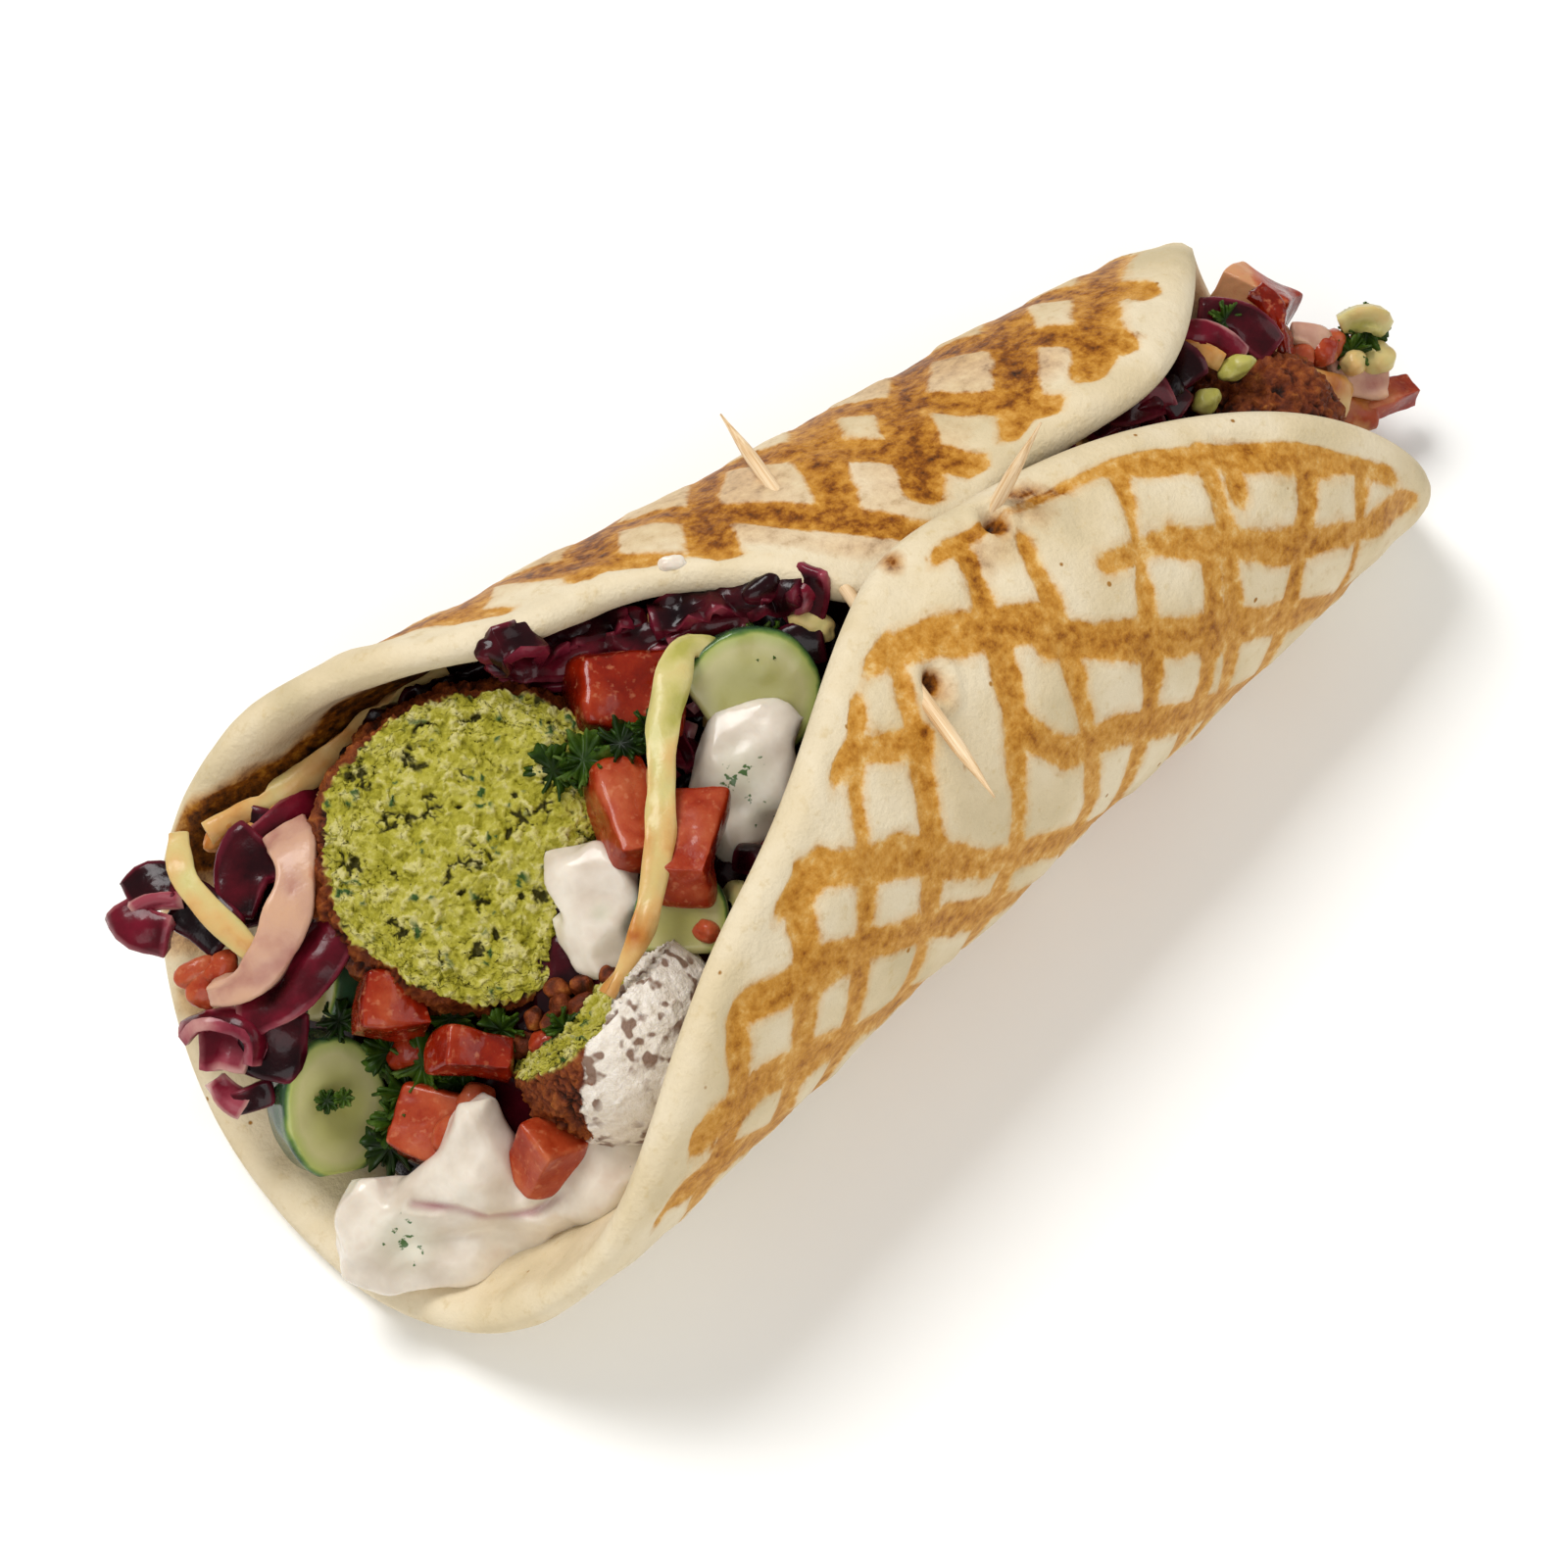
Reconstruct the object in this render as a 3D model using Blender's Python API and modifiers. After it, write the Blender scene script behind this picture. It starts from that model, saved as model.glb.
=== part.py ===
# Falafel pita: a round griddled flatbread folded over falafel and salad, pinned with two wooden picks.
# Metres, +Z up. X runs along the wrap with the wide mouth at -X. The wrap lies on its flattened back at z = 0.
# The right flap comes up from -Y and laps over the left flap, which comes up from +Y.
import math
import random

import bmesh
import bpy
from mathutils import Euler, Matrix, Vector, noise

MM = 0.001

# Driving dimensions of the bread
BREAD_REACH = 105 * MM  # from the middle of the round to its tip, along X
RIGHT_REACH = 98.8 * MM  # across, to the edge of the right flap
LEFT_REACH = 98.0 * MM
BREAD_THICK = 6.4 * MM
THIN_EDGE = 0.80  # the bread is a little thinner near its edge
TUBE_RADIUS = 35.3 * MM  # of the folded middle
TUBE_WIDE = 1.042  # the section is an oval, wider than high
TUBE_HIGH = 0.82
FLATTENED = 2.5 * MM  # how much of the round back is pressed flat
SETTLED = 0.2 * MM  # what is lower than this touches the table
LAP_SPREAD = 0.115  # the right flap stands out and the left one tucks in, as a share of the radius
LAP_HALF = 0.45  # share of the length over which the flaps are spread
RIM_ROWS = (0.0, 0.006, 0.020, 0.045)  # mesh rows that round the edge, as shares of the reach
BREAD_RINGS = 13
UNEVEN = 0.014  # lumps in the bread, as a share of the radius

# The round isn't a true circle: (middle, width, height) of each wave of its edge
RIGHT_WAVES = ((0.05, 0.14, 2 * MM), (-0.30, 0.20, -3.5 * MM))
LEFT_WAVES = ((0.10, 0.13, 13 * MM), (-0.20, 0.16, -8.5 * MM), (0.62, 0.18, 4.5 * MM))

GAP = 0.5 * MM  # between pieces that touch
PICK_GAP = 0.3 * MM  # round a pick in its hole
FILLING_SINK = 14 * MM  # the bare salad lies this far below the mouth's rim
WALL_RISE = 8 * MM  # and climbs this much toward the bread on both sides
ROOF_MIDDLE, ROOF_HALF = 0.25, 0.15  # where the flaps close over the salad, as shares of the reach
CORE_FROM, CORE_LONG = -0.93, 1.88  # where the bare salad starts, and its length, as shares of the reach
CORE_INSET = 1.6 * MM  # between the bare salad and the bread
HALF_THICK = BREAD_THICK / 2
FACING = Vector((-0.33, -0.37, 0.87))  # bitten and cut faces look out of the wide mouth

PICK_RADIUS = 1.0 * MM
PICK_TAPER = 11 * MM

# Where the pieces sit. All lengths below are in millimetres, turns in degrees.
PICKS = {  # both ends of each
    "toothpick_1": ((10.3, 37.5, 50.0), (-8.8, -40.0, 63.0)),
    "toothpick_2": ((32.1, -4.6, 72.0), (-9.2, -6.0, 9.3)),
}
FALAFELS = {  # middle, half sizes, depth of the bite's plane from the middle, or None if whole
    "falafel_bitten": ((-55.2, 14.3, 32.0), (23.2, 22.6, 23.5), 11.5),
    "falafel_sauced": ((-58.5, -22.2, 31.0), (15.5, 13.8, 14.0), None),
    "falafel_far": ((84.0, -4.5, 22.5), (12.5, 12.0, 12.0), None),
}
TOMATOES = {  # middle, size, turn
    "tomato_1": ((-29.5, 12.8, 44.5), (18.0, 13.0, 12.0), (6, 12, -41)),
    "tomato_2": ((-40.8, -2.0, 46.0), (9.0, 16.0, 11.0), (0, 8, -22)),
    "tomato_3": ((-37.5, -12.8, 47.5), (7.5, 14.0, 8.0), (-8, 0, -52)),
    "tomato_4": ((-79.0, 3.0, 30.0), (10.0, 9.0, 8.0), (15, 20, -30)),
    "tomato_5": ((-75.5, -11.0, 31.0), (11.0, 7.0, 7.0), (0, 15, -45)),
    "tomato_6": ((-83.5, -13.0, 20.5), (13.0, 11.0, 8.0), (20, 0, -60)),
    "tomato_7": ((-76.0, -27.0, 27.0), (11.0, 8.0, 9.0), (0, 30, -10)),
    "tomato_8": ((102.0, 15.0, 19.0), (6.0, 10.5, 12.0), (0, 25, 15)),
    "tomato_9": ((106.5, 2.5, 13.5), (9.0, 8.0, 7.0), (10, 10, 40)),
    "tomato_10": ((110.0, -7.5, 10.5), (13.5, 5.0, 4.5), (0, 8, -18)),
}
CUCUMBERS = {  # middle, radii across and along, thickness, share of the round kept, turn about its own axis
    "cucumber_1": ((-18.3, 1.0, 45.5), (9.0, 9.0), 7.0, 0.7, -45),
    "cucumber_2": ((-92.0, 3.5, 14.5), (7.0, 11.0), 8.0, 0.95, 0),
    "cucumber_3": ((-81.0, 12.0, 21.5), (4.5, 7.0), 6.0, 0.8, 0),
    "cucumber_4": ((-44.5, -18.0, 41.0), (5.0, 6.0), 5.0, 0.8, 0),
}
SAUCES = {  # soft lumps that run together: middle and half sizes of each
    "sauce_side": (((-52.5, -9.0, 42.5), (8.0, 7.0, 5.0)), ((-55.5, -13.5, 41.0), (5.0, 5.0, 5.0))),
    "sauce_middle": (((-24.5, -5.6, 42.5), (9.0, 7.0, 5.0)), ((-30.0, -11.0, 43.0), (5.5, 6.0, 5.0))),
    "sauce_front": (
        ((-95.0, -14.0, 9.5), (9.0, 8.5, 6.0)),
        ((-84.0, -20.5, 22.0), (9.0, 8.5, 8.5)),
        ((-79.5, -20.0, 28.5), (5.0, 4.5, 5.0)),
        ((-89.5, -22.5, 12.0), (11.0, 9.5, 7.5)),
        ((-78.0, -31.0, 20.0), (9.0, 6.5, 8.0)),
    ),
}
# Shreds of red and white cabbage and onion: start, end, bow between them, width
SHREDS = (
    ((-44.0, 22.5, 46.0), (-31.0, 15.5, 48.5), (0, 0, 6), 5.5),
    ((-36.0, 21.0, 49.0), (-24.5, 10.5, 48.5), (0, 0, 5), 5.0),
    ((-30.5, 19.0, 49.5), (-18.5, 9.0, 49.0), (0, 0, 6.5), 6.0),
    ((-22.0, 14.5, 50.0), (-11.5, 4.5, 50.0), (0, 0, 6.5), 5.0),
    ((-14.5, 10.5, 50.0), (-3.5, 1.0, 49.5), (0, 0, 8), 5.5),
    ((-7.5, 7.0, 52.0), (0.5, 2.2, 60.5), (0, 0, 1), 5.0),
    ((-38.5, 15.0, 45.5), (-16.5, 5.0, 48.5), (0, 0, 3.5), 4.0),
    ((-76.0, 30.0, 36.0), (-91.5, 24.0, 17.5), (0, 0, 2.5), 5.5),
    ((-74.0, 22.0, 32.0), (-91.0, 17.0, 15.0), (0, 0, 2), 5.5),
    ((-80.0, 35.0, 32.0), (-84.0, 24.0, 26.0), (0, 0, 2), 5.0),
    ((-87.0, 31.0, 29.0), (-97.0, 37.0, 32.0), (0, 0, 2), 8.5),
    ((-92.0, 27.5, 14.5), (-100.5, 19.0, 13.5), (-1, -1, 4.5), 6.0),
    ((-86.5, 38.0, 31.0), (-88.5, 23.5, 23.5), (0, 0, 1), 2.5),
    ((-13.0, 8.5, 49.5), (-61.5, -17.0, 46.0), (-3, -1, 7), 4.6),
    ((70.0, 8.0, 36.0), (86.0, 9.0, 29.0), (0, 0, 5.5), 5.5),
    ((78.0, 14.0, 30.0), (96.0, 12.0, 22.0), (0, 0, 5), 5.0),
    ((69.0, 1.0, 37.0), (82.0, 6.5, 32.0), (0, 0, 3.5), 5.0),
    ((90.0, 8.0, 19.0), (103.0, 9.5, 14.5), (0, 0, 4), 4.0),
    ((96.0, 3.0, 12.0), (107.5, -4.0, 12.0), (0, 0, 3), 4.0),
)
SHRED_THICK = 1.8
# Sprigs of parsley and cut leaves: middle, size
LEAVES = (
    ((-84.0, -5.5, 26.5), 9.5),
    ((106.5, -1.5, 14.0), 7.0),
    ((95.0, 16.0, 23.0), 5.0),
)
KERNELS = (((-1.0, 4.0, 46.5), 3.6), ((-92.0, 27.0, 14.5), 3.5))  # middle, radius

# Moves the finished wrap so that the middle of its box is over the origin
RECENTRE = Vector((-5.6, 0.25, 0.0)) * MM

FALAFEL_CRAG = 1.3 * MM
FALAFEL_CRUMB = 0.9 * MM
LEAF_THICK = 1.0  # millimetres
STALK = 0.7 * MM
ROOT = 1.5 * MM  # how deep shreds and stalks reach into the bare salad
LONGEST_LEG = 16 * MM
LEG = 0.2  # share of a shred's length over which its end comes down
SAUCE_MESH = 2.2 * MM  # size of the faces on the sauce
BLEND_REACH = 1.25  # a soft lump's reach, as a share of its half size
MERGE = 0.00001
SALAD_FACES = 4800
HULL_MESH = 3.5 * MM  # how coarse the room for a piece is in the salad
HULL_GAP = 1.4 * MM
TRIM_GAP = 0.12 * MM
SHARP = 0.7  # radians between the faces of an edge that is rounded


def section_radius(u):
    """The oval's radius at u, from -1 at the wide mouth to 1 at the narrow one."""
    return TUBE_RADIUS * (1 - 0.263 * u + 0.054 * u**2 - 0.061 * u**3 - 0.069 * u**4)


def arc_table(steps=240, last=4.4):
    """Arc length round the oval of radius 1, against the angle from its bottom."""
    rows, length, step = [(0.0, 0.0)], 0.0, last / steps
    for i in range(steps):
        angle = (i + 0.5) * step
        length += step * math.hypot(TUBE_WIDE * math.cos(angle), TUBE_HIGH * math.sin(angle))
        rows.append((length, (i + 1) * step))
    return rows


ARC = arc_table()


def angle_at(length):
    """The angle from the oval's bottom at an arc length, both with their sign."""
    size = abs(length)
    for (low, a), (high, b) in zip(ARC, ARC[1:]):
        if size <= high:
            return math.copysign(a + (b - a) * (size - low) / (high - low), length)
    return math.copysign(ARC[-1][1], length)


def smooth(x):
    x = min(max(x, 0.0), 1.0)
    return x * x * (3 - 2 * x)


def flap_reach(u, right):
    """Arc length from the wrap's back to the bread's edge."""
    near_share = 1 - 1 / (1 + math.exp(-8 * u))
    power = 2.0 if right else 2.0 * near_share + 2.2 * (1 - near_share)
    reach = (RIGHT_REACH if right else LEFT_REACH) * max(1 - abs(u) ** power, 0) ** (1 / power)
    waves = RIGHT_WAVES if right else LEFT_WAVES
    return reach + sum(h * math.exp(-(((u - m) / w) ** 2)) for m, w, h in waves)


def spread(u, angle):
    """How far a flap stands out of the oval near the lap, as a factor of the radius."""
    near_lap = 1 / (1 + (abs(u) / LAP_HALF) ** 6)
    upper = smooth((abs(angle) - math.pi / 2) / (math.pi / 2))
    return 1 + math.copysign(LAP_SPREAD * near_lap * upper, angle)


def bread_point(u, share):
    """A point of the bread's middle surface. share is 1 at the right flap's edge and -1 at the left's."""
    radius = section_radius(u)
    angle = angle_at(abs(share) * flap_reach(u, share > 0) / radius)
    angle = math.copysign(angle, share)
    lump = noise.noise(Vector((u * 4.1, angle * 1.7, 3.7)))
    out = radius * spread(u, angle) * (1 + UNEVEN * lump)
    y = -TUBE_WIDE * out * math.sin(angle)
    z = TUBE_HIGH * (radius - out * math.cos(angle)) - FLATTENED
    return Vector((BREAD_REACH * u, y, HALF_THICK + max(z, 0.0)))


# ---- helpers that make objects ----

parts = bpy.data.collections.new("falafel_pita")
cutters = bpy.data.collections.new("cutters")


def start_clean():
    for thing in list(bpy.data.objects):
        bpy.data.objects.remove(thing)
    bpy.context.scene.collection.children.link(parts)
    bpy.context.scene.collection.children.link(cutters)


def material(name, colour, roughness):
    made = bpy.data.materials.get(name)
    if made is None:
        made = bpy.data.materials.new(name)
        made.use_nodes = True
        shader = made.node_tree.nodes["Principled BSDF"]
        shader.inputs["Base Color"].default_value = (*colour, 1)
        shader.inputs["Roughness"].default_value = roughness
        shader.inputs["Metallic"].default_value = 0
    return made


def add_object(name, bm, finish=None, home=parts):
    mesh = bpy.data.meshes.new(name)
    bm.to_mesh(mesh)
    bm.free()
    made = bpy.data.objects.new(name, mesh)
    home.objects.link(made)
    if finish:
        mesh.materials.append(finish)
    mesh.shade_smooth()
    return made


def applied(thing):
    """Applies every modifier of an object to its mesh."""
    bpy.context.view_layer.update()
    shape = thing.evaluated_get(bpy.context.evaluated_depsgraph_get())
    mesh = bpy.data.meshes.new_from_object(shape)
    thing.modifiers.clear()
    thing.data = mesh
    return thing


def islands(bm):
    """The separate closed bodies of a mesh, each with its faces and its volume."""
    found, seen = [], set()
    for start in bm.faces:
        if start in seen:
            continue
        body, waiting = [], [start]
        seen.add(start)
        while waiting:
            face = waiting.pop()
            body.append(face)
            for edge in face.edges:
                for other in edge.link_faces:
                    if other not in seen:
                        seen.add(other)
                        waiting.append(other)
        volume = 0.0
        for face in body:
            first = face.verts[0].co
            for b, c in zip(face.verts[1:], face.verts[2:]):
                volume += first.dot(b.co.cross(c.co)) / 6
        found.append((volume, body))
    return sorted(found, key=lambda pair: -pair[0])


def keep_largest(thing):
    """Fills sealed hollows and drops loose scraps, so that one closed body is left."""
    bm = bmesh.new()
    bm.from_mesh(thing.data)
    bmesh.ops.triangulate(bm, faces=bm.faces, ngon_method="EAR_CLIP")
    for _, body in islands(bm)[1:]:
        bmesh.ops.delete(bm, geom=body, context="FACES")
    loose = [vert for vert in bm.verts if not vert.link_faces]
    bmesh.ops.delete(bm, geom=loose, context="VERTS")
    bm.to_mesh(thing.data)
    bm.free()
    return thing


def room_round(thing, gap, hull):
    """A cutter: the object's shape, or its convex hull, larger by the gap all round."""
    bm = bmesh.new()
    if hull:
        for vert in thing.data.vertices:
            bm.verts.new(vert.co)
        bmesh.ops.remove_doubles(bm, verts=bm.verts, dist=HULL_MESH)
        wrapped = bmesh.ops.convex_hull(bm, input=bm.verts)
        bmesh.ops.delete(bm, geom=wrapped["geom_interior"], context="VERTS")
    else:
        bm.from_mesh(thing.data)
    bm.normal_update()
    moves = [vert.normal * gap for vert in bm.verts]
    for vert, move in zip(bm.verts, moves):
        vert.co += move
    made = add_object(thing.name + "_room", bm, home=cutters)
    made.hide_render = True
    made.display_type = "WIRE"
    return made


def box_of(thing):
    points = [vert.co for vert in thing.data.vertices]
    low = Vector(min(p[i] for p in points) for i in range(3))
    high = Vector(max(p[i] for p in points) for i in range(3))
    return low, high


def fitted(thing, others, gap=GAP, hulls=()):
    """Cuts away what would come closer than the gap to any of the others, or to the hulls of some."""
    low, high = box_of(thing)
    for other in (*others, *hulls):
        cutter = room_round(other, HULL_GAP if other in hulls else gap, other in hulls)
        other_low, other_high = box_of(cutter)
        if any(low[i] > other_high[i] or high[i] < other_low[i] for i in range(3)):
            bpy.data.objects.remove(cutter)
    if cutters.objects:
        cut = thing.modifiers.new("room", "BOOLEAN")
        cut.operation = "DIFFERENCE"
        cut.operand_type = "COLLECTION"
        cut.solver = "MANIFOLD"
        cut.collection = cutters
        keep_largest(applied(thing))
    for cutter in list(cutters.objects):
        bpy.data.objects.remove(cutter)
    return thing


def thinned(thing, faces):
    """Merges the sliver faces that cuts leave, down to about a number of faces."""
    merge = thing.modifiers.new("thin", "DECIMATE")
    merge.ratio = min(faces / len(thing.data.polygons), 1.0)
    return keep_largest(applied(thing))


def mm(values):
    return Vector(values) * MM


def turned(degrees):
    return Euler([math.radians(angle) for angle in degrees]).to_matrix()


def toward(direction):
    """A turn that sends +Z along the direction."""
    return direction.to_track_quat("Z", "Y").to_matrix()


# ---- the pieces ----


def make_bread():
    bm = bmesh.new()
    rows = 2 * BREAD_RINGS
    bmesh.ops.create_grid(bm, x_segments=rows, y_segments=rows, size=1)
    rims = len(RIM_ROWS)
    inner = 1 - RIM_ROWS[-1]
    factors = []
    for vert in bm.verts:
        p, q = vert.co.x, vert.co.y
        ring = round(max(abs(p), abs(q)) * BREAD_RINGS)
        from_edge = BREAD_RINGS - ring
        if from_edge < rims:
            radius = 1 - RIM_ROWS[from_edge]
        else:
            radius = inner * ring / (BREAD_RINGS - rims + 1)
        if ring == 0:
            angle = 0.0
        elif abs(p) >= abs(q):
            angle = math.pi / 4 * q / p + (math.pi if p < 0 else 0)
        else:
            angle = math.pi / 2 - math.pi / 4 * p / q + (math.pi if q < 0 else 0)
        u, across = radius * math.cos(angle), radius * math.sin(angle)
        share = across / max(math.sqrt(max(1 - u * u, 0)), 1e-9)
        vert.co = bread_point(u, share)
        depth = min((1 - radius) * BREAD_REACH / HALF_THICK, 1.0)
        rounded = math.sqrt(max(1 - (1 - depth) ** 2, 0.0))
        thin = THIN_EDGE + (1 - THIN_EDGE) * smooth((1 - radius) / 0.15)
        factors.append(max(0.3, rounded) * thin)
    bread = add_object("bread", bm, material("griddled_bread", (0.80, 0.62, 0.38), 0.75))
    group = bread.vertex_groups.new(name="thickness")
    for index, factor in enumerate(factors):
        group.add([index], factor, "REPLACE")
    shell = bread.modifiers.new("wall", "SOLIDIFY")
    shell.thickness = BREAD_THICK
    shell.offset = 0
    shell.vertex_group = "thickness"
    split = bread.modifiers.new("split", "TRIANGULATE")
    split.min_vertices = 4
    applied(bread)
    for vert in bread.data.vertices:
        if vert.co.z < SETTLED:
            vert.co.z = 0.0
    bread.vertex_groups.clear()
    return bread


def make_pick(name, ends):
    """A round stick with a point at each end."""
    start, end = mm(ends[0]), mm(ends[1])
    long = (end - start).length
    bm = bmesh.new()
    bmesh.ops.create_cone(
        bm, cap_ends=True, segments=10, radius1=PICK_RADIUS, radius2=PICK_RADIUS, depth=long - 2 * PICK_TAPER
    )
    for side in (1, -1):
        cap = [face for face in bm.faces if len(face.verts) == 10 and face.normal.z * side > 0.5]
        made = bmesh.ops.extrude_discrete_faces(bm, faces=cap)["faces"]
        corners = [vert for face in made for vert in face.verts]
        bmesh.ops.translate(bm, verts=corners, vec=(0, 0, side * PICK_TAPER))
        bmesh.ops.scale(bm, verts=corners, vec=(0.2, 0.2, 1))
    place = Matrix.Translation((start + end) / 2) @ toward(end - start).to_4x4()
    bmesh.ops.transform(bm, matrix=place, verts=bm.verts)
    return add_object(name, bm, material("pick_wood", (0.72, 0.55, 0.36), 0.6))


def make_falafel(name, middle, half_sizes, bite):
    """A craggy fried ball. A bite leaves a rough flat face that looks out of the wide mouth."""
    bm = bmesh.new()
    bmesh.ops.create_icosphere(bm, subdivisions=4 if bite else 3, radius=1)
    seed = Vector((len(name), middle[0], middle[1]))
    turn = toward(FACING)
    for vert in bm.verts:
        normal = vert.co.normalized()
        crag = noise.fractal(normal * 3.1 + seed, 0.8, 2.2, 3) * FALAFEL_CRAG
        point = Vector(normal[i] * half_sizes[i] * MM for i in range(3)) + normal * crag
        if bite is not None and point.z > bite * MM:
            crumb = noise.noise(point / (2.4 * MM)) * FALAFEL_CRUMB
            point.z = bite * MM + crumb + 0.12 * (point.z - bite * MM)
        vert.co = mm(middle) + turn @ point
    return add_object(name, bm, material("fried_chickpea", (0.30, 0.17, 0.05), 0.85))


def make_chunk(name, middle, size, turn):
    """A cut of tomato: a block with soft edges and no two faces quite parallel."""
    bm = bmesh.new()
    bmesh.ops.create_cube(bm, size=1)
    draw = random.Random(name)
    for vert in bm.verts:
        vert.co = Vector(vert.co[i] * size[i] * MM * draw.uniform(0.78, 1.08) for i in range(3))
    bmesh.ops.bevel(bm, geom=bm.edges[:], offset=min(size) * 0.16 * MM, segments=1, affect="EDGES")
    place = Matrix.Translation(mm(middle)) @ turned(turn).to_4x4()
    bmesh.ops.transform(bm, matrix=place, verts=bm.verts)
    return add_object(name, bm, material("tomato", (0.62, 0.09, 0.03), 0.3))


def make_round_cut(name, middle, radii, thick, kept, turn):
    """A thick slice of cucumber that faces out of the mouth, with a share of the round cut off."""
    bm = bmesh.new()
    bmesh.ops.create_cone(bm, cap_ends=True, segments=20, radius1=1, radius2=1, depth=thick * MM)
    cut = bmesh.ops.bisect_plane(
        bm,
        geom=bm.verts[:] + bm.edges[:] + bm.faces[:],
        dist=MERGE,
        plane_co=(0, 1 - 2 * kept, 0),
        plane_no=(0, -1, 0),
        clear_outer=True,
    )
    bmesh.ops.contextual_create(bm, geom=[part for part in cut["geom_cut"] if isinstance(part, bmesh.types.BMEdge)])
    bmesh.ops.scale(bm, verts=bm.verts, vec=(radii[0] * MM, radii[1] * MM, 1))
    sharp = [edge for edge in bm.edges if edge.calc_face_angle(0) > SHARP]
    bmesh.ops.bevel(bm, geom=sharp, offset=0.6 * MM, segments=1, affect="EDGES", clamp_overlap=True)
    place = Matrix.Translation(mm(middle)) @ toward(FACING).to_4x4() @ Matrix.Rotation(math.radians(turn), 4, "Z")
    bmesh.ops.transform(bm, matrix=place, verts=bm.verts)
    bmesh.ops.recalc_face_normals(bm, faces=bm.faces)
    return add_object(name, bm, material("cucumber", (0.42, 0.50, 0.20), 0.35))


def make_sauce(name, lumps):
    """Thick sauce: soft lumps that run together."""
    blend = bpy.data.metaballs.new(name + "_blend")
    blend.resolution = SAUCE_MESH
    blend.render_resolution = SAUCE_MESH
    blend.threshold = 0.05
    for middle, half_sizes in lumps:
        lump = blend.elements.new(type="ELLIPSOID")
        lump.co = mm(middle)
        widest = max(half_sizes) * MM
        lump.radius = widest * BLEND_REACH
        lump.size_x, lump.size_y, lump.size_z = (size * MM / widest for size in half_sizes)
    soft = bpy.data.objects.new(name + "_blend", blend)
    bpy.context.scene.collection.objects.link(soft)
    bpy.context.view_layer.update()
    mesh = bpy.data.meshes.new_from_object(soft.evaluated_get(bpy.context.evaluated_depsgraph_get()))
    bpy.data.objects.remove(soft)
    bm = bmesh.new()
    bm.from_mesh(mesh)
    bpy.data.meshes.remove(mesh)
    bmesh.ops.remove_doubles(bm, verts=bm.verts, dist=MERGE)
    return add_object(name, bm, material("yoghurt_sauce", (0.86, 0.78, 0.70), 0.35))


# ---- the salad, one bundle ----


def filling_height(u):
    """Height of the lower of the two flaps' edges."""
    return min(bread_point(u, 1).z, bread_point(u, -1).z)


def filling_top(u, y):
    """Height of the bare salad: under the roof where the flaps lap, and below the rim in the mouths."""
    radius = section_radius(u)
    inset = HALF_THICK + CORE_INSET
    wide = TUBE_WIDE * radius - inset
    middle = HALF_THICK + TUBE_HIGH * radius - FLATTENED
    high = TUBE_HIGH * radius * (2 - spread(u, math.pi)) - inset
    roof = middle + high * math.sqrt(max(1 - (y / wide) ** 2, 0))
    in_mouth = smooth((abs(u - ROOF_MIDDLE) - ROOF_HALF) / 0.12)
    heap = filling_height(u) - FILLING_SINK + WALL_RISE * (y / wide) ** 2
    return min(roof, roof + (heap - roof) * in_mouth)


def make_salad_core():
    bm = bmesh.new()
    bmesh.ops.create_uvsphere(bm, u_segments=28, v_segments=26, radius=1, matrix=Matrix.Rotation(math.pi / 2, 4, "Y"))
    for vert in bm.verts:
        u = CORE_FROM + CORE_LONG * (1 - math.acos(max(-1, min(1, vert.co.x))) / math.pi)
        radius = section_radius(u)
        inset = HALF_THICK + CORE_INSET
        full = TUBE_WIDE * radius - inset
        high = TUBE_HIGH * radius - inset
        middle = HALF_THICK + TUBE_HIGH * radius - FLATTENED
        top = filling_top(u, 0)
        wide = full * math.sqrt(max(1 - (max(middle - top, 0) / high) ** 2, 0.0))
        around = math.atan2(vert.co.z, vert.co.y)
        y = wide * math.cos(around)
        if around >= 0:
            z = filling_top(u, y)
        else:
            z = max(middle - high * math.sqrt(max(1 - (y / full) ** 2, 0.0)), HALF_THICK + inset)
        if abs(abs(vert.co.x) - 1) < 1e-5:
            y, z = 0.0, HALF_THICK + inset + 1 * MM
        vert.co = Vector((BREAD_REACH * u, y, z))
    bmesh.ops.triangulate(bm, faces=bm.faces)
    return add_object("salad", bm, material("mixed_salad", (0.20, 0.05, 0.10), 0.5))


def ground(point):
    """How far a point is above the bare salad, or nothing where there is none under it."""
    u = point.x / BREAD_REACH
    wide = TUBE_WIDE * section_radius(u) - HALF_THICK - CORE_INSET
    if abs(point.y) > wide - ROOT or not CORE_FROM < u < CORE_FROM + CORE_LONG:
        return 0.0
    above = point.z - filling_top(u, point.y)
    return above + ROOT if 0 < above + ROOT < LONGEST_LEG else 0.0


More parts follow.
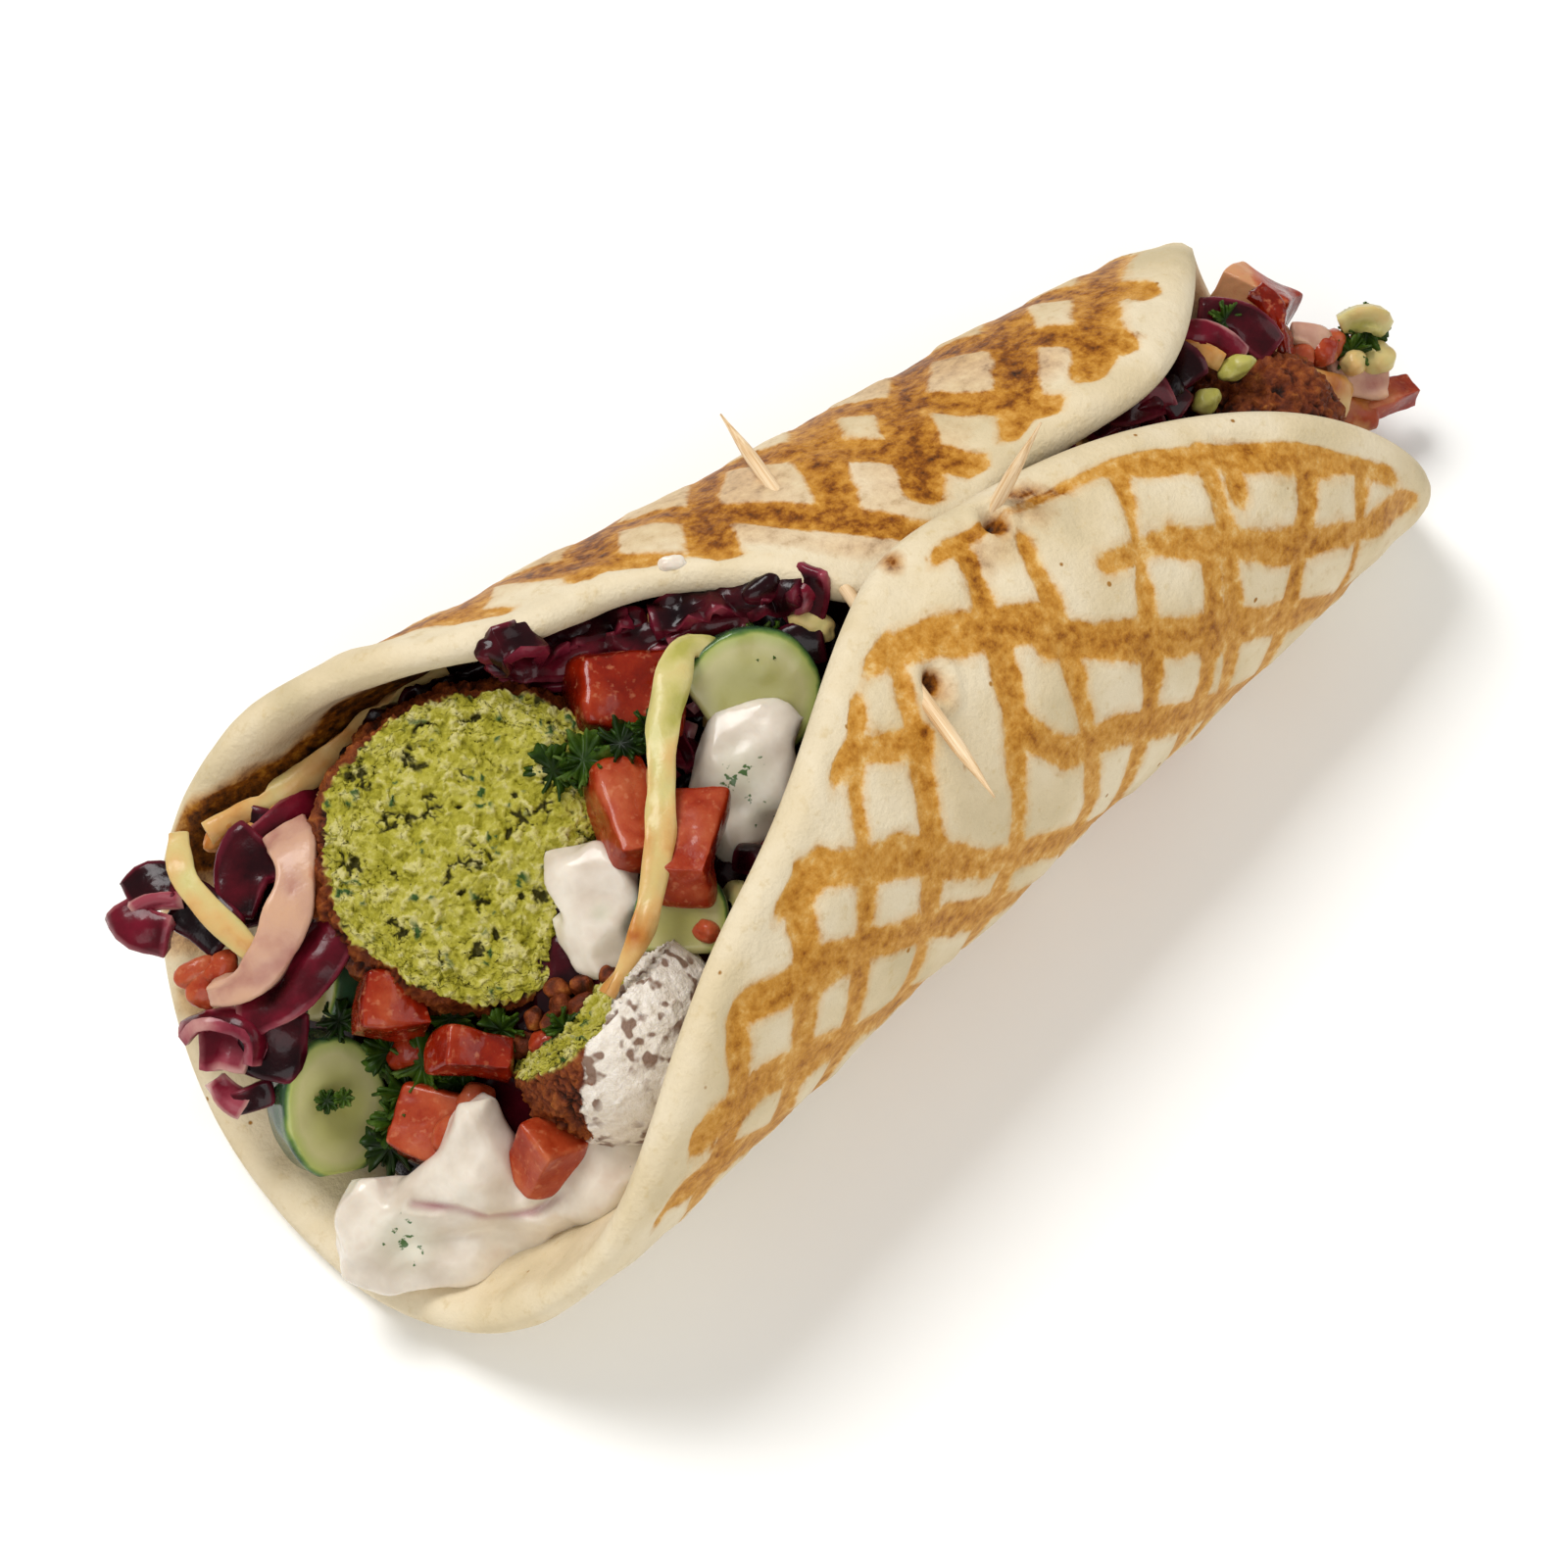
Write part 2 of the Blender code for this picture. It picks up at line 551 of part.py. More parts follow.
def make_shred(index, start, end, bow, width, home):
    """A strip of cabbage or onion that bows from start to end, with both ends down in the salad."""
    bm = bmesh.new()
    bmesh.ops.create_cube(bm, size=1)
    along = mm(end) - mm(start)
    lengthwise = [edge for edge in bm.edges if abs(edge.verts[0].co.x - edge.verts[1].co.x) > 0.5]
    bmesh.ops.subdivide_edges(bm, edges=lengthwise, cuts=6)
    draw = random.Random(index)
    roll, lean = draw.uniform(-0.9, 0.9), draw.uniform(-0.5, 0.5)
    side = along.cross(Vector((0, 0, 1))).normalized()
    up = side.cross(along).normalized()
    drops = ground(mm(start)), ground(mm(end))
    for vert in bm.verts:
        share = vert.co.x + 0.5
        angle = lean + roll * (share - 0.5)
        flat = side * math.cos(angle) + up * math.sin(angle)
        stand = up * math.cos(angle) - side * math.sin(angle)
        drop = drops[0] * smooth(1 - share / LEG) + drops[1] * smooth(1 - (1 - share) / LEG)
        middle = mm(start) + along * share + mm(bow) * (4 * share * (1 - share)) - Vector((0, 0, drop))
        vert.co = middle + flat * (vert.co.y * width * MM) + stand * (vert.co.z * SHRED_THICK * MM)
    bmesh.ops.triangulate(bm, faces=bm.faces)
    bmesh.ops.recalc_face_normals(bm, faces=bm.faces)
    return add_object("shred", bm, home=home)


def make_leaf(index, middle, size, home):
    """A sprig's leaf, a thin wavy solid with a lobed edge, and its stalk."""
    bm = bmesh.new()
    bmesh.ops.create_circle(bm, cap_ends=True, cap_tris=True, segments=10, radius=0.5)
    draw = random.Random(100 + index)
    phase = draw.uniform(0, 6)
    turn = toward(FACING) @ turned((draw.uniform(-25, 25), draw.uniform(-25, 25), draw.uniform(0, 360)))
    bmesh.ops.triangulate(bm, faces=bm.faces)
    raised = bmesh.ops.extrude_face_region(bm, geom=bm.faces[:])
    upper = [part for part in raised["geom"] if isinstance(part, bmesh.types.BMVert)]
    bmesh.ops.translate(bm, verts=upper, vec=(0, 0, LEAF_THICK / size))
    for vert in bm.verts:
        around = math.atan2(vert.co.y, vert.co.x)
        lobed = 0.85 + 0.15 * math.cos(5 * around + phase)
        wave = 0.20 * math.sin(3 * around + phase) * math.hypot(vert.co.x, vert.co.y)
        point = Vector((vert.co.x * lobed, vert.co.y * lobed, vert.co.z + wave)) * (size * MM)
        vert.co = mm(middle) + turn @ point
    bmesh.ops.recalc_face_normals(bm, faces=bm.faces)
    add_object("leaf", bm, home=home)
    long = ground(mm(middle))
    if long:
        bm = bmesh.new()
        place = Matrix.Translation(mm(middle) - Vector((0, 0, long / 2)))
        bmesh.ops.create_cone(
            bm, cap_ends=True, segments=5, radius1=STALK, radius2=STALK, depth=long, matrix=place
        )
        add_object("stalk", bm, home=home)


def make_kernel(middle, radius, home):
    bm = bmesh.new()
    bmesh.ops.create_icosphere(bm, subdivisions=2, radius=radius * MM, matrix=Matrix.Translation(mm(middle)))
    return add_object("kernel", bm, home=home)


def make_salad():
    """The bare bundle with the shreds, leaves and kernels that show, fused on."""
    salad = make_salad_core()
    toppings = bpy.data.collections.new("toppings")
    bpy.context.scene.collection.children.link(toppings)
    for index, values in enumerate(SHREDS):
        make_shred(index, *values, toppings)
    for index, values in enumerate(LEAVES):
        make_leaf(index, *values, toppings)
    for middle, radius in KERNELS:
        make_kernel(middle, radius, toppings)
    join = salad.modifiers.new("fuse", "BOOLEAN")
    join.operation = "UNION"
    join.operand_type = "COLLECTION"
    join.solver = "MANIFOLD"
    join.collection = toppings
    applied(salad)
    for thing in list(toppings.objects):
        bpy.data.objects.remove(thing)
    bpy.data.collections.remove(toppings)
    return keep_largest(salad)


def main():
    start_clean()
    picks = [make_pick(name, ends) for name, ends in PICKS.items()]
    bread = fitted(make_bread(), picks, PICK_GAP)
    placed = picks + [bread]
    for name, values in FALAFELS.items():
        placed.append(fitted(make_falafel(name, *values), placed))
    for name, values in TOMATOES.items():
        placed.append(fitted(make_chunk(name, *values), placed))
    for name, values in CUCUMBERS.items():
        placed.append(fitted(make_round_cut(name, *values), placed))
    for name, lumps in SAUCES.items():
        placed.append(fitted(make_sauce(name, lumps), placed))
    salad = fitted(make_salad(), [*picks, bread], hulls=placed[len(picks) + 1 :])
    placed.append(fitted(thinned(salad, SALAD_FACES), placed, TRIM_GAP))
    for thing in placed:
        thing.data.transform(Matrix.Translation(RECENTRE))


main()
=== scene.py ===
# Falafel pita: how it looks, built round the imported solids. Lengths in the dictionaries are millimetres.
import math
import random

import bpy
import numpy as np
from mathutils import Euler, Matrix, Vector, noise
from mathutils.bvhtree import BVHTree


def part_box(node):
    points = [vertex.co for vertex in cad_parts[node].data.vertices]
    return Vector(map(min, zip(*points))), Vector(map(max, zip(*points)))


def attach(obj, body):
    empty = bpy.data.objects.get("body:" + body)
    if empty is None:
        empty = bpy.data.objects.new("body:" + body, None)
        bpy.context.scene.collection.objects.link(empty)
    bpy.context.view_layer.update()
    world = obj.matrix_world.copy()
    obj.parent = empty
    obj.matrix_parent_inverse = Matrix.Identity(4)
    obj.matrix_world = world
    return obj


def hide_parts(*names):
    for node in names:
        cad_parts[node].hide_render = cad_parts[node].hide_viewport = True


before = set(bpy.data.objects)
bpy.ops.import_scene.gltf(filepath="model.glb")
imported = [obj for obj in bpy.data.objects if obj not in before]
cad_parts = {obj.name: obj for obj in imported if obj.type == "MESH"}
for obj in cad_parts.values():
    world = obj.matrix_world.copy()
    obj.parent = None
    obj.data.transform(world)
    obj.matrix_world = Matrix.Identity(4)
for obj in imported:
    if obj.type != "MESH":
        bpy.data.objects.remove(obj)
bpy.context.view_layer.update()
mm = 0.001
axisShift = np.array([-5.6, 0.25, 0.0])  # from the wrap's own axis to the frame's origin
# The directions of the filling's face: the columns run to the right and up along it, and out of it
outlook = np.array([[0.751, 0.573, -0.328], [-0.661, 0.652, -0.373], [0.0, 0.497, 0.868]])
facing = Vector(outlook[:, 2])


def linear(code):  # an sRGB hex colour as the renderer's linear one
    parts = [int(code[i : i + 2], 16) / 255 for i in (1, 3, 5)]
    return (*[p / 12.92 if p <= 0.04045 else ((p + 0.055) / 1.055) ** 2.4 for p in parts], 1)


def every(size):  # a pattern's scale from the size of its parts in millimetres
    return 1 / (size * mm)


def pickOut(piece):
    bpy.ops.object.select_all(action="DESELECT")
    piece.select_set(True)
    bpy.context.view_layer.objects.active = piece


def named(name):  # the object that was just added
    piece = bpy.context.object
    piece.name = name
    piece.data.name = name
    return piece


def worked(piece, kind, **settings):  # adds a modifier and applies it
    pickOut(piece)
    modifier = piece.modifiers.new("work", kind)
    for key, value in settings.items():
        setattr(modifier, key, value)
    bpy.ops.object.modifier_apply(modifier=modifier.name)


def readPoints(piece):
    flat = np.zeros(len(piece.data.vertices) * 3, np.float32)
    piece.data.vertices.foreach_get("co", flat)
    return flat.reshape(-1, 3).astype(float)


def movePoints(piece, places):
    piece.data.vertices.foreach_set("co", places.astype(np.float32).ravel())
    piece.data.update()


def readNormals(piece):
    flat = np.zeros(len(piece.data.vertices) * 3, np.float32)
    piece.data.vertex_normals.foreach_get("vector", flat)
    return flat.reshape(-1, 3).astype(float)


def paint(piece, name, values):  # a number at each point, for the material to read
    layer = piece.data.attributes.get(name) or piece.data.attributes.new(name, "FLOAT", "POINT")
    layer.data.foreach_set("value", np.asarray(values, np.float32))


def readPaint(piece, name):
    values = np.zeros(len(piece.data.vertices), np.float32)
    piece.data.attributes[name].data.foreach_get("value", values)
    return values.astype(float)


def bumps(places, size, seed=0.0):  # soft random height from -1 to 1, its lumps as wide as the size
    return np.array([noise.noise(Vector(p)) for p in places / (size * mm) + seed])


def grains(places, size, seed=0.0):  # 0 in the middle of a grain, rising to about 1 between grains
    return np.array([noise.voronoi(Vector(p))[0][0] for p in places / (size * mm) + seed])


def crumbs(places, size, seed=0.0):  # each place's gap to the next crumb, and its own crumb's chance, -1 to 1
    gap, chance = [], []
    for place in places / (size * mm) + seed:
        distances, centres = noise.voronoi(Vector(place))
        gap.append(distances[1] - distances[0])
        chance.append(noise.cell(centres[0] * 9.7))
    return np.array(gap), np.array(chance)


def smooth(x):
    x = np.clip(x, 0.0, 1.0)
    return x * x * (3 - 2 * x)


def near(distance, width):  # 1 at a mark's middle, 0 a width away
    return smooth(1 - np.abs(distance) / width)


def lineDistance(x, y, line):  # from each point to the nearest place on a line of points
    best = np.full(len(x), 1e9)
    for (ax, ay), (bx, by) in zip(line, line[1:]):
        dx, dy = bx - ax, by - ay
        share = np.clip(((x - ax) * dx + (y - ay) * dy) / (dx * dx + dy * dy), 0, 1)
        best = np.minimum(best, np.hypot(x - ax - share * dx, y - ay - share * dy))
    return best


def turnTo(direction):  # sends +Z along the direction
    return Vector(direction).to_track_quat("Z", "Y").to_matrix()


def turned(degrees):
    return Euler([math.radians(angle) for angle in degrees]).to_matrix()


def middleOf(nodeName):
    low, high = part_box(nodeName)
    return np.array((low + high) / 2)


def settle(piece, nodes, material):  # gives a finished piece its look and its place in the model
    pickOut(piece)
    bpy.ops.object.shade_smooth()
    piece.data.materials.clear()
    piece.data.materials.append(material)
    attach(piece, "root")
    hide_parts(*nodes)


def joined(pieces, name):
    bpy.ops.object.select_all(action="DESELECT")
    for piece in pieces:
        piece.select_set(True)
    bpy.context.view_layer.objects.active = pieces[0]
    bpy.ops.object.join()
    return named(name)


def node(tree, kind, inputs=None, stops=None, give=0, **settings):  # adds a node and gives one of its outputs
    made = tree.nodes.new("ShaderNode" + kind)
    for key, value in settings.items():
        setattr(made, key, value)
    for key, value in (inputs or {}).items():
        if isinstance(value, bpy.types.NodeSocket):
            tree.links.new(value, made.inputs[key])
        else:
            made.inputs[key].default_value = value
    if stops:
        ramp = made.color_ramp.elements
        while len(ramp) < len(stops):
            ramp.new(1.0)
        for stop, (place, colour) in zip(ramp, stops):
            stop.position = place
            stop.color = linear(colour)
    return made.outputs[give]


def newMaterial(name, **sockets):
    material = bpy.data.materials.new(name)
    material.use_nodes = True
    tree = material.node_tree
    shader = tree.nodes["Principled BSDF"]
    for key, value in sockets.items():
        shader.inputs[key.replace("_", " ")].default_value = value
    place = node(tree, "TexCoord", give="Object")
    return material, tree, shader, place


bread = {
    "reach": 105,  # half the wrap's length
    "rightReach": 98.8,  # round the wrap from the middle of its back to the edge of each flap
    "leftReach": 98.0,
    "thick": 6.4,
    "thinEdge": 0.80,  # share of the thickness that is left at the rim
    "tube": 35.3,  # radius of the tube halfway along
    "wide": 1.042,  # the tube is an oval: shares of the radius across and up
    "high": 0.82,
    "flattened": 2.5,  # taken off the bottom where it lies on the floor
    # share of the radius by which the right flap stands off the left one, and over what length
    "lapSpread": 0.115,
    "lapHalf": 0.45,
    "uneven": 0.014,  # share of the radius
    # waves of each flap's edge: place and width as shares, and height
    "rightWaves": ((0.05, 0.14, 2), (-0.30, 0.20, -3.5)),
    "leftWaves": ((0.10, 0.13, 13), (-0.20, 0.16, -8.5), (0.62, 0.18, 4.5)),
    "mesh": 218,  # squares of the sheet each way
    "sunkBars": 0.35,
    "blister": 0.5,
    "barHalf": 2.35,  # half widths of the griddle's bars
    "crossHalf": 1.95,
    "leftBarHalf": 3.3,
}

# Griddle marks on the flat round: along the wrap, and around it from the back's middle
rightLong = (
    ((11, 96.2), (29.6, 90.7), (43.3, 85.2), (58.6, 74.3), (73.4, 62.3), (91, 46)),
    ((31, 78.4), (40, 74.8), (59.7, 58.4), (74.5, 49.1), (93, 40)),
    ((-9.6, 94.7), (2.2, 89.1), (16.8, 80.9)),
    ((16.5, 78.1), (31.3, 67.2), (57, 49.1), (84, 31)),
    ((-29, 91), (-19.1, 88.8), (-8.5, 82.7)),
    ((5, 74), (10.5, 66), (21.4, 60.6), (33.4, 51.9), (74, 24)),
    ((-43.7, 86), (-31.4, 83.2), (-20.8, 76), (-8.5, 64.2), (9.4, 50.3), (60, 15)),
    ((-56, 80.4), (-43, 75.4), (-31, 71), (-19.6, 63), (-6.8, 52), (40, 19)),
    ((-66, 71.5), (-53.7, 67.6), (-42, 62.5), (-10, 40), (24, 16)),
    ((-78, 64), (-62.7, 62.6), (-50, 53), (-10, 25)),
)
rightCross = (
    ((-51, 81), (-55.4, 73.2), (-62.7, 63.7), (-72, 50)),
    ((-33, 88), (-42, 72.6), (-50, 58), (-60, 40)),
    ((-13, 93.5), (-23, 83), (-33, 68.7), (-40, 54), (-50, 36)),
    ((-4, 93), (-12, 78.5), (-19, 66.5), (-28, 50)),
    ((14, 92), (7, 77.7), (-4, 60), (-18, 36)),
    ((23, 88), (17.8, 74), (13.5, 56), (2, 34)),
    ((42, 84), (33, 70), (22, 52), (12, 34)),
    ((48, 68), (37, 52), (24, 30)),
    ((57, 78), (48, 60), (40, 42)),
    ((60, 74), (57, 69)),
    ((72, 64), (57, 49), (46, 30)),
    ((82, 58), (70, 42), (58, 22)),
)
leftLong = (
    ((-9.9, -90.8), (-4.5, -79.2), (2.6, -67.5), (12, -50)),
    ((8, -90.8), (14.2, -78.3), (20.5, -66.6), (30, -50)),
    ((20.5, -92.6), (30.3, -73.8), (37.5, -65.7), (47, -50)),
    ((37.5, -89.9), (50, -72.9), (64, -50)),
    ((54.5, -83.6), (60.8, -75.6), (80, -52)),
    ((-26, -86), (-14, -66), (-4, -48)),
    ((-42, -80), (-30, -62), (-20, -46)),
    ((-58, -72), (-46, -54)),
)
leftCross = tuple(  # these run straight, each through the place given here, at the same slope
    ((x - 28, t + 31), (x, t), (x + 22, t - 24.5))
    for x, t in ((-37, -86), (-18, -85), (0, -83), (19.6, -79.6), (37.5, -78.7), (57, -74), (76, -72))
)


def arcTable(steps=240, last=4.4):  # arc length round the oval of radius 1 against the angle from its bottom
    angle = (np.arange(steps) + 0.5) * last / steps
    lengths = np.hypot(bread["wide"] * np.cos(angle), bread["high"] * np.sin(angle)) * last / steps
    return np.concatenate([[0], np.cumsum(lengths)]), np.linspace(0, last, steps + 1)


arcLengths, arcAngles = arcTable()


def sectionRadius(u):  # slimmer toward the narrow mouth; u is -1 at the wide mouth's end and 1 at the other
    return bread["tube"] * (1 - 0.263 * u + 0.054 * u**2 - 0.061 * u**3 - 0.069 * u**4)


def flapReach(u, right):  # from the wrap's back round to the bread's edge
    nearShare = 1 - 1 / (1 + np.exp(-8 * u))
    power = np.where(right, 2.0, 2.0 * nearShare + 2.2 * (1 - nearShare))
    reach = np.where(right, bread["rightReach"], bread["leftReach"])
    reach = reach * np.maximum(1 - np.abs(u) ** power, 0) ** (1 / power)
    for rightSide, waves in ((True, bread["rightWaves"]), (False, bread["leftWaves"])):
        for place, width, height in waves:
            reach = reach + np.where(right == rightSide, height * np.exp(-(((u - place) / width) ** 2)), 0)
    return reach


def wrapPoint(x, around):  # the bread's middle surface, x along the wrap and around its section from the back
    u = np.asarray(x, float) / bread["reach"]
    around = np.asarray(around, float)
    radius = sectionRadius(u)
    angle = np.interp(np.abs(around) / radius, arcLengths, arcAngles) * np.sign(around)
    nearLap = 1 / (1 + (np.abs(u) / bread["lapHalf"]) ** 6)
    upper = smooth((np.abs(angle) - math.pi / 2) / (math.pi / 2))
    stands = 1 + np.sign(angle) * bread["lapSpread"] * nearLap * upper
    spots = zip(u.ravel(), angle.ravel())
    lump = np.array([noise.noise(Vector((a * 4.1, b * 1.7, 3.7))) for a, b in spots])
    out = radius * stands * (1 + bread["uneven"] * lump.reshape(u.shape))
    y = -bread["wide"] * out * np.sin(angle)
    z = bread["high"] * (radius - out * np.cos(angle)) - bread["flattened"]
    z = bread["thick"] / 2 + np.maximum(z, 0)
    return np.stack([bread["reach"] * u, y, z], -1) + axisShift


def makeBreadMaterial():
    # Flatbread, baked and pressed on a ridged griddle: cream crumb with a dull skin, and golden-brown bars
    # with crisp edges, mottled every 2 mm. The bar attribute is the depth into a bar in millimetres.
    material, tree, shader, place = newMaterial(
        "griddledFlatbread", Roughness=0.62, IOR=1.45, Specular_IOR_Level=0.2
    )
    wide = node(tree, "TexNoise", {"Vector": place, "Scale": every(16.67), "Detail": 4})
    edgeWave = node(tree, "TexNoise", {"Vector": place, "Scale": every(3.33), "Detail": 2})
    mottle = node(tree, "TexNoise", {"Vector": place, "Scale": every(1.92), "Detail": 5, "Roughness": 0.65})
    grain = node(tree, "TexNoise", {"Vector": place, "Scale": every(0.8), "Detail": 3, "Roughness": 0.6})
    specks = node(tree, "TexVoronoi", {"Vector": place, "Scale": every(6.67)})
    depth = node(tree, "Attribute", give="Fac", attribute_name="bar")
    # brown: browning and stains, and also painted shade in the picks' holes and under the left flap's rim
    brown = node(tree, "Attribute", give="Fac", attribute_name="brown")
    waved = node(tree, "Math", {0: edgeWave, 1: 1.4, 2: depth}, operation="MULTIPLY_ADD")
    frayed = node(tree, "Math", {0: grain, 1: 0.7, 2: waved}, operation="MULTIPLY_ADD")
    torn = node(tree, "Math", {0: mottle, 1: 0.9, 2: frayed}, operation="MULTIPLY_ADD")
    inBar = node(tree, "MapRange", {"Value": torn, "From Min": 1.30, "From Max": 1.90})
    haze = node(tree, "MapRange", {"Value": torn, "From Min": 0.3, "From Max": 1.7, "To Max": 0.38})
    cream = node(
        tree,
        "ValToRGB",
        {"Fac": wide},
        stops=((0.30, "#CAB994"), (0.45, "#DAC8A4"), (0.60, "#E3D4B6"), (0.78, "#D8C8A8")),
    )
    cracks = node(tree, "MapRange", {"Value": mottle, "From Min": 0.56, "From Max": 0.76, "To Max": 0.5})
    flour = node(tree, "Mix", {0: cracks, 6: cream, 7: linear("#C3A76C")}, give=2, data_type="RGBA")
    dots = node(tree, "MapRange", {"Value": specks, "From Min": 0.075, "From Max": 0.05})
    dotted = node(tree, "Mix", {0: dots, 6: flour, 7: linear("#9A6A2A")}, give=2, data_type="RGBA")
    deep = node(tree, "MapRange", {"Value": depth, "From Max": 3.0, "To Max": 0.20})
    stirred = node(tree, "Math", {0: mottle, 1: 1.15, 2: deep}, operation="MULTIPLY_ADD")
    heat = node(tree, "Math", {0: brown, 1: 0.42, 2: stirred}, operation="MULTIPLY_ADD")
    cooked = node(tree, "Math", {0: heat, 1: 0.8}, operation="MULTIPLY")
    toast = node(
        tree,
        "ValToRGB",
        {"Fac": cooked},
        stops=(
            (0.34, "#DDB776"),
            (0.46, "#CF9A4A"),
            (0.57, "#C18732"),
            (0.69, "#A96D1C"),
            (0.80, "#804608"),
            (0.97, "#2E1404"),
        ),
    )
    warmth = node(tree, "Math", {0: mottle, 1: 0.40, 2: brown}, operation="MULTIPLY_ADD")
    baked = node(tree, "MapRange", {"Value": warmth, "From Min": 0.42, "From Max": 1.15})
    either = node(tree, "Math", {0: baked, 1: haze}, operation="MAXIMUM")
    warmed = node(tree, "Mix", {0: either, 6: dotted, 7: toast}, give=2, data_type="RGBA")
    colour = node(tree, "Mix", {0: inBar, 6: warmed, 7: toast}, give=2, data_type="RGBA")
    tree.links.new(colour, shader.inputs["Base Color"])
    skin = node(tree, "Math", {0: mottle, 1: grain}, operation="ADD")
    height = node(tree, "Math", {0: inBar, 1: -0.45, 2: skin}, operation="MULTIPLY_ADD")
    bump = node(tree, "Bump", {"Height": height, "Strength": 0.5, "Distance": 0.0004})
    tree.links.new(bump, shader.inputs["Normal"])
    dull = node(tree, "MapRange", {"Value": inBar, "To Min": 0.64, "To Max": 0.48})
    tree.links.new(dull, shader.inputs["Roughness"])
    return material


def makeBread():
    bpy.ops.object.select_all(action="DESELECT")
    count = bread["mesh"]
    bpy.ops.mesh.primitive_grid_add(x_subdivisions=count, y_subdivisions=count, size=2)
    piece = named("flatbread")
    square = readPoints(piece)[:, :2]
    # the square sheet becomes the round: each ring of squares a ring of the bread
    ring = np.maximum(np.abs(square[:, 0]), np.abs(square[:, 1]))
    p, q = square[:, 0], square[:, 1]
    acrossP = np.abs(p) >= np.abs(q)
    safeP, safeQ = np.where(p == 0, 1, p), np.where(q == 0, 1, q)
    angle = np.where(
        acrossP,
        math.pi / 4 * q / safeP + np.where(p < 0, math.pi, 0),
        math.pi / 2 - math.pi / 4 * p / safeQ + np.where(q < 0, math.pi, 0),
    )
    u, side = ring * np.cos(angle), ring * np.sin(angle)
    share = side / np.sqrt(np.maximum(1 - u * u, 1e-9))
    share = np.where(ring > 0, share, 0)
    right = share > 0
    x = u * bread["reach"]
    around = np.abs(share) * flapReach(u, right) * np.sign(share)
    movePoints(piece, wrapPoint(x, around) * mm)
    # thickness: rounded at the rim, and a little thinner near it
    inward = (1 - ring) * bread["reach"]
    depth = np.minimum(inward / (bread["thick"] / 2), 1)
    rounded = np.sqrt(np.maximum(1 - (1 - depth) ** 2, 0))
    thin = bread["thinEdge"] + (1 - bread["thinEdge"]) * smooth((1 - ring) / 0.15)
    group = piece.vertex_groups.new(name="thickness")
    for index, factor in enumerate(np.maximum(rounded, 0.22) * thin):
        group.add([index], float(factor), "REPLACE")
    paint(piece, "along", x)
    paint(piece, "around", around)
    paint(piece, "inward", inward)
    total = len(piece.data.vertices)
    worked(
        piece,
        "SOLIDIFY",
        thickness=bread["thick"] * mm,
        offset=0,
        vertex_group="thickness",
        use_even_offset=False,
    )
    piece.vertex_groups.clear()
    x, around, inward = (readPaint(piece, name) for name in ("along", "around", "inward"))
    places, normals = readPoints(piece), readNormals(piece)
    outer = np.arange(len(places)) < total  # the wall's outer side comes first
    paintBread(piece, places, normals, x, around, inward, outer)
    places = readPoints(piece)
    places[:, 2] = np.maximum(places[:, 2], 0)  # it lies flat on the floor
    movePoints(piece, places)
    settle(piece, ["bread"], makeBreadMaterial())
    # its surface, for what lies against it
    return BVHTree.FromPolygons(
        [vertex.co for vertex in piece.data.vertices], [face.vertices for face in piece.data.polygons]
    )


scorchesAndHoleShade = (  # scorched spots outside, and painted shade in the two holes where the picks go in: along, around, half width and how brown
    (5.5, 99.0, 3.6, 1.0),
    (9, 95.7, 0.9, 0.8),
    (43.5, 78.5, 0.9, 0.6),
    (52.5, 78.3, 0.9, 0.6),
    (-5.5, 76.3, 0.8, 0.6),
    # painted shade inside a pick's hole
    (21.5, 91.8, 2.6, 1.5),
    (27.5, 90.0, 7.5, 0.62),
    (16, 91.5, 7.0, 0.60),
    (21, 88.5, 4.5, 0.50),
    # painted shade inside a pick's hole
    (-2, 86.2, 2.4, 1.3),
    (-2, 84.5, 5.0, 0.45),
    (-7.5, 83.2, 1.4, 0.8),
    (65, -79, 1.8, 0.8),
    (-78, 92, 4.0, 0.4),
    (90, 60, 3.0, 0.4),
)
insideBrowningAndRimShade = (  # browned and sauce-stained patches inside; the ones on the left flap (around below zero) also paint the shade in the band under its rim
    (-30, -58, 12, 0.75),
    (-42, -66, 10, 0.85),
    (-53, -66, 9, 0.8),
    (-45, -58, 9, 0.7),
    (-60, -62, 8, 0.7),
    (-66, -56, 8, 0.8),
    (-74, -58, 8, 0.8),
    (-81, -56, 7, 0.9),
    (-86, -50, 6, 0.8),
    (-91, -42, 5, 0.7),
    (-93, -33, 5, 0.6),
    (-78, 38, 3.2, 0.6),
    (-65, 34, 3.5, 0.55),
    (-72, 45, 2.5, 0.3),
)
creases = (((26.5, 93), (30, 91), (34.5, 86.8)), ((-92, 60), (-88, 68), (-80, 74)), ((60, 76), (66, 70)))
pits = ((22, 82), (32, 84.5), (17, 75), (40.5, 65.5), (-18, 74), (-44, 69), (52, 56), (28, -84), (58, -66))
pickHoles = ((21.5, 92.5, 2.0), (-2, 86, 2.2))  # along, around and half width of each hole that shows


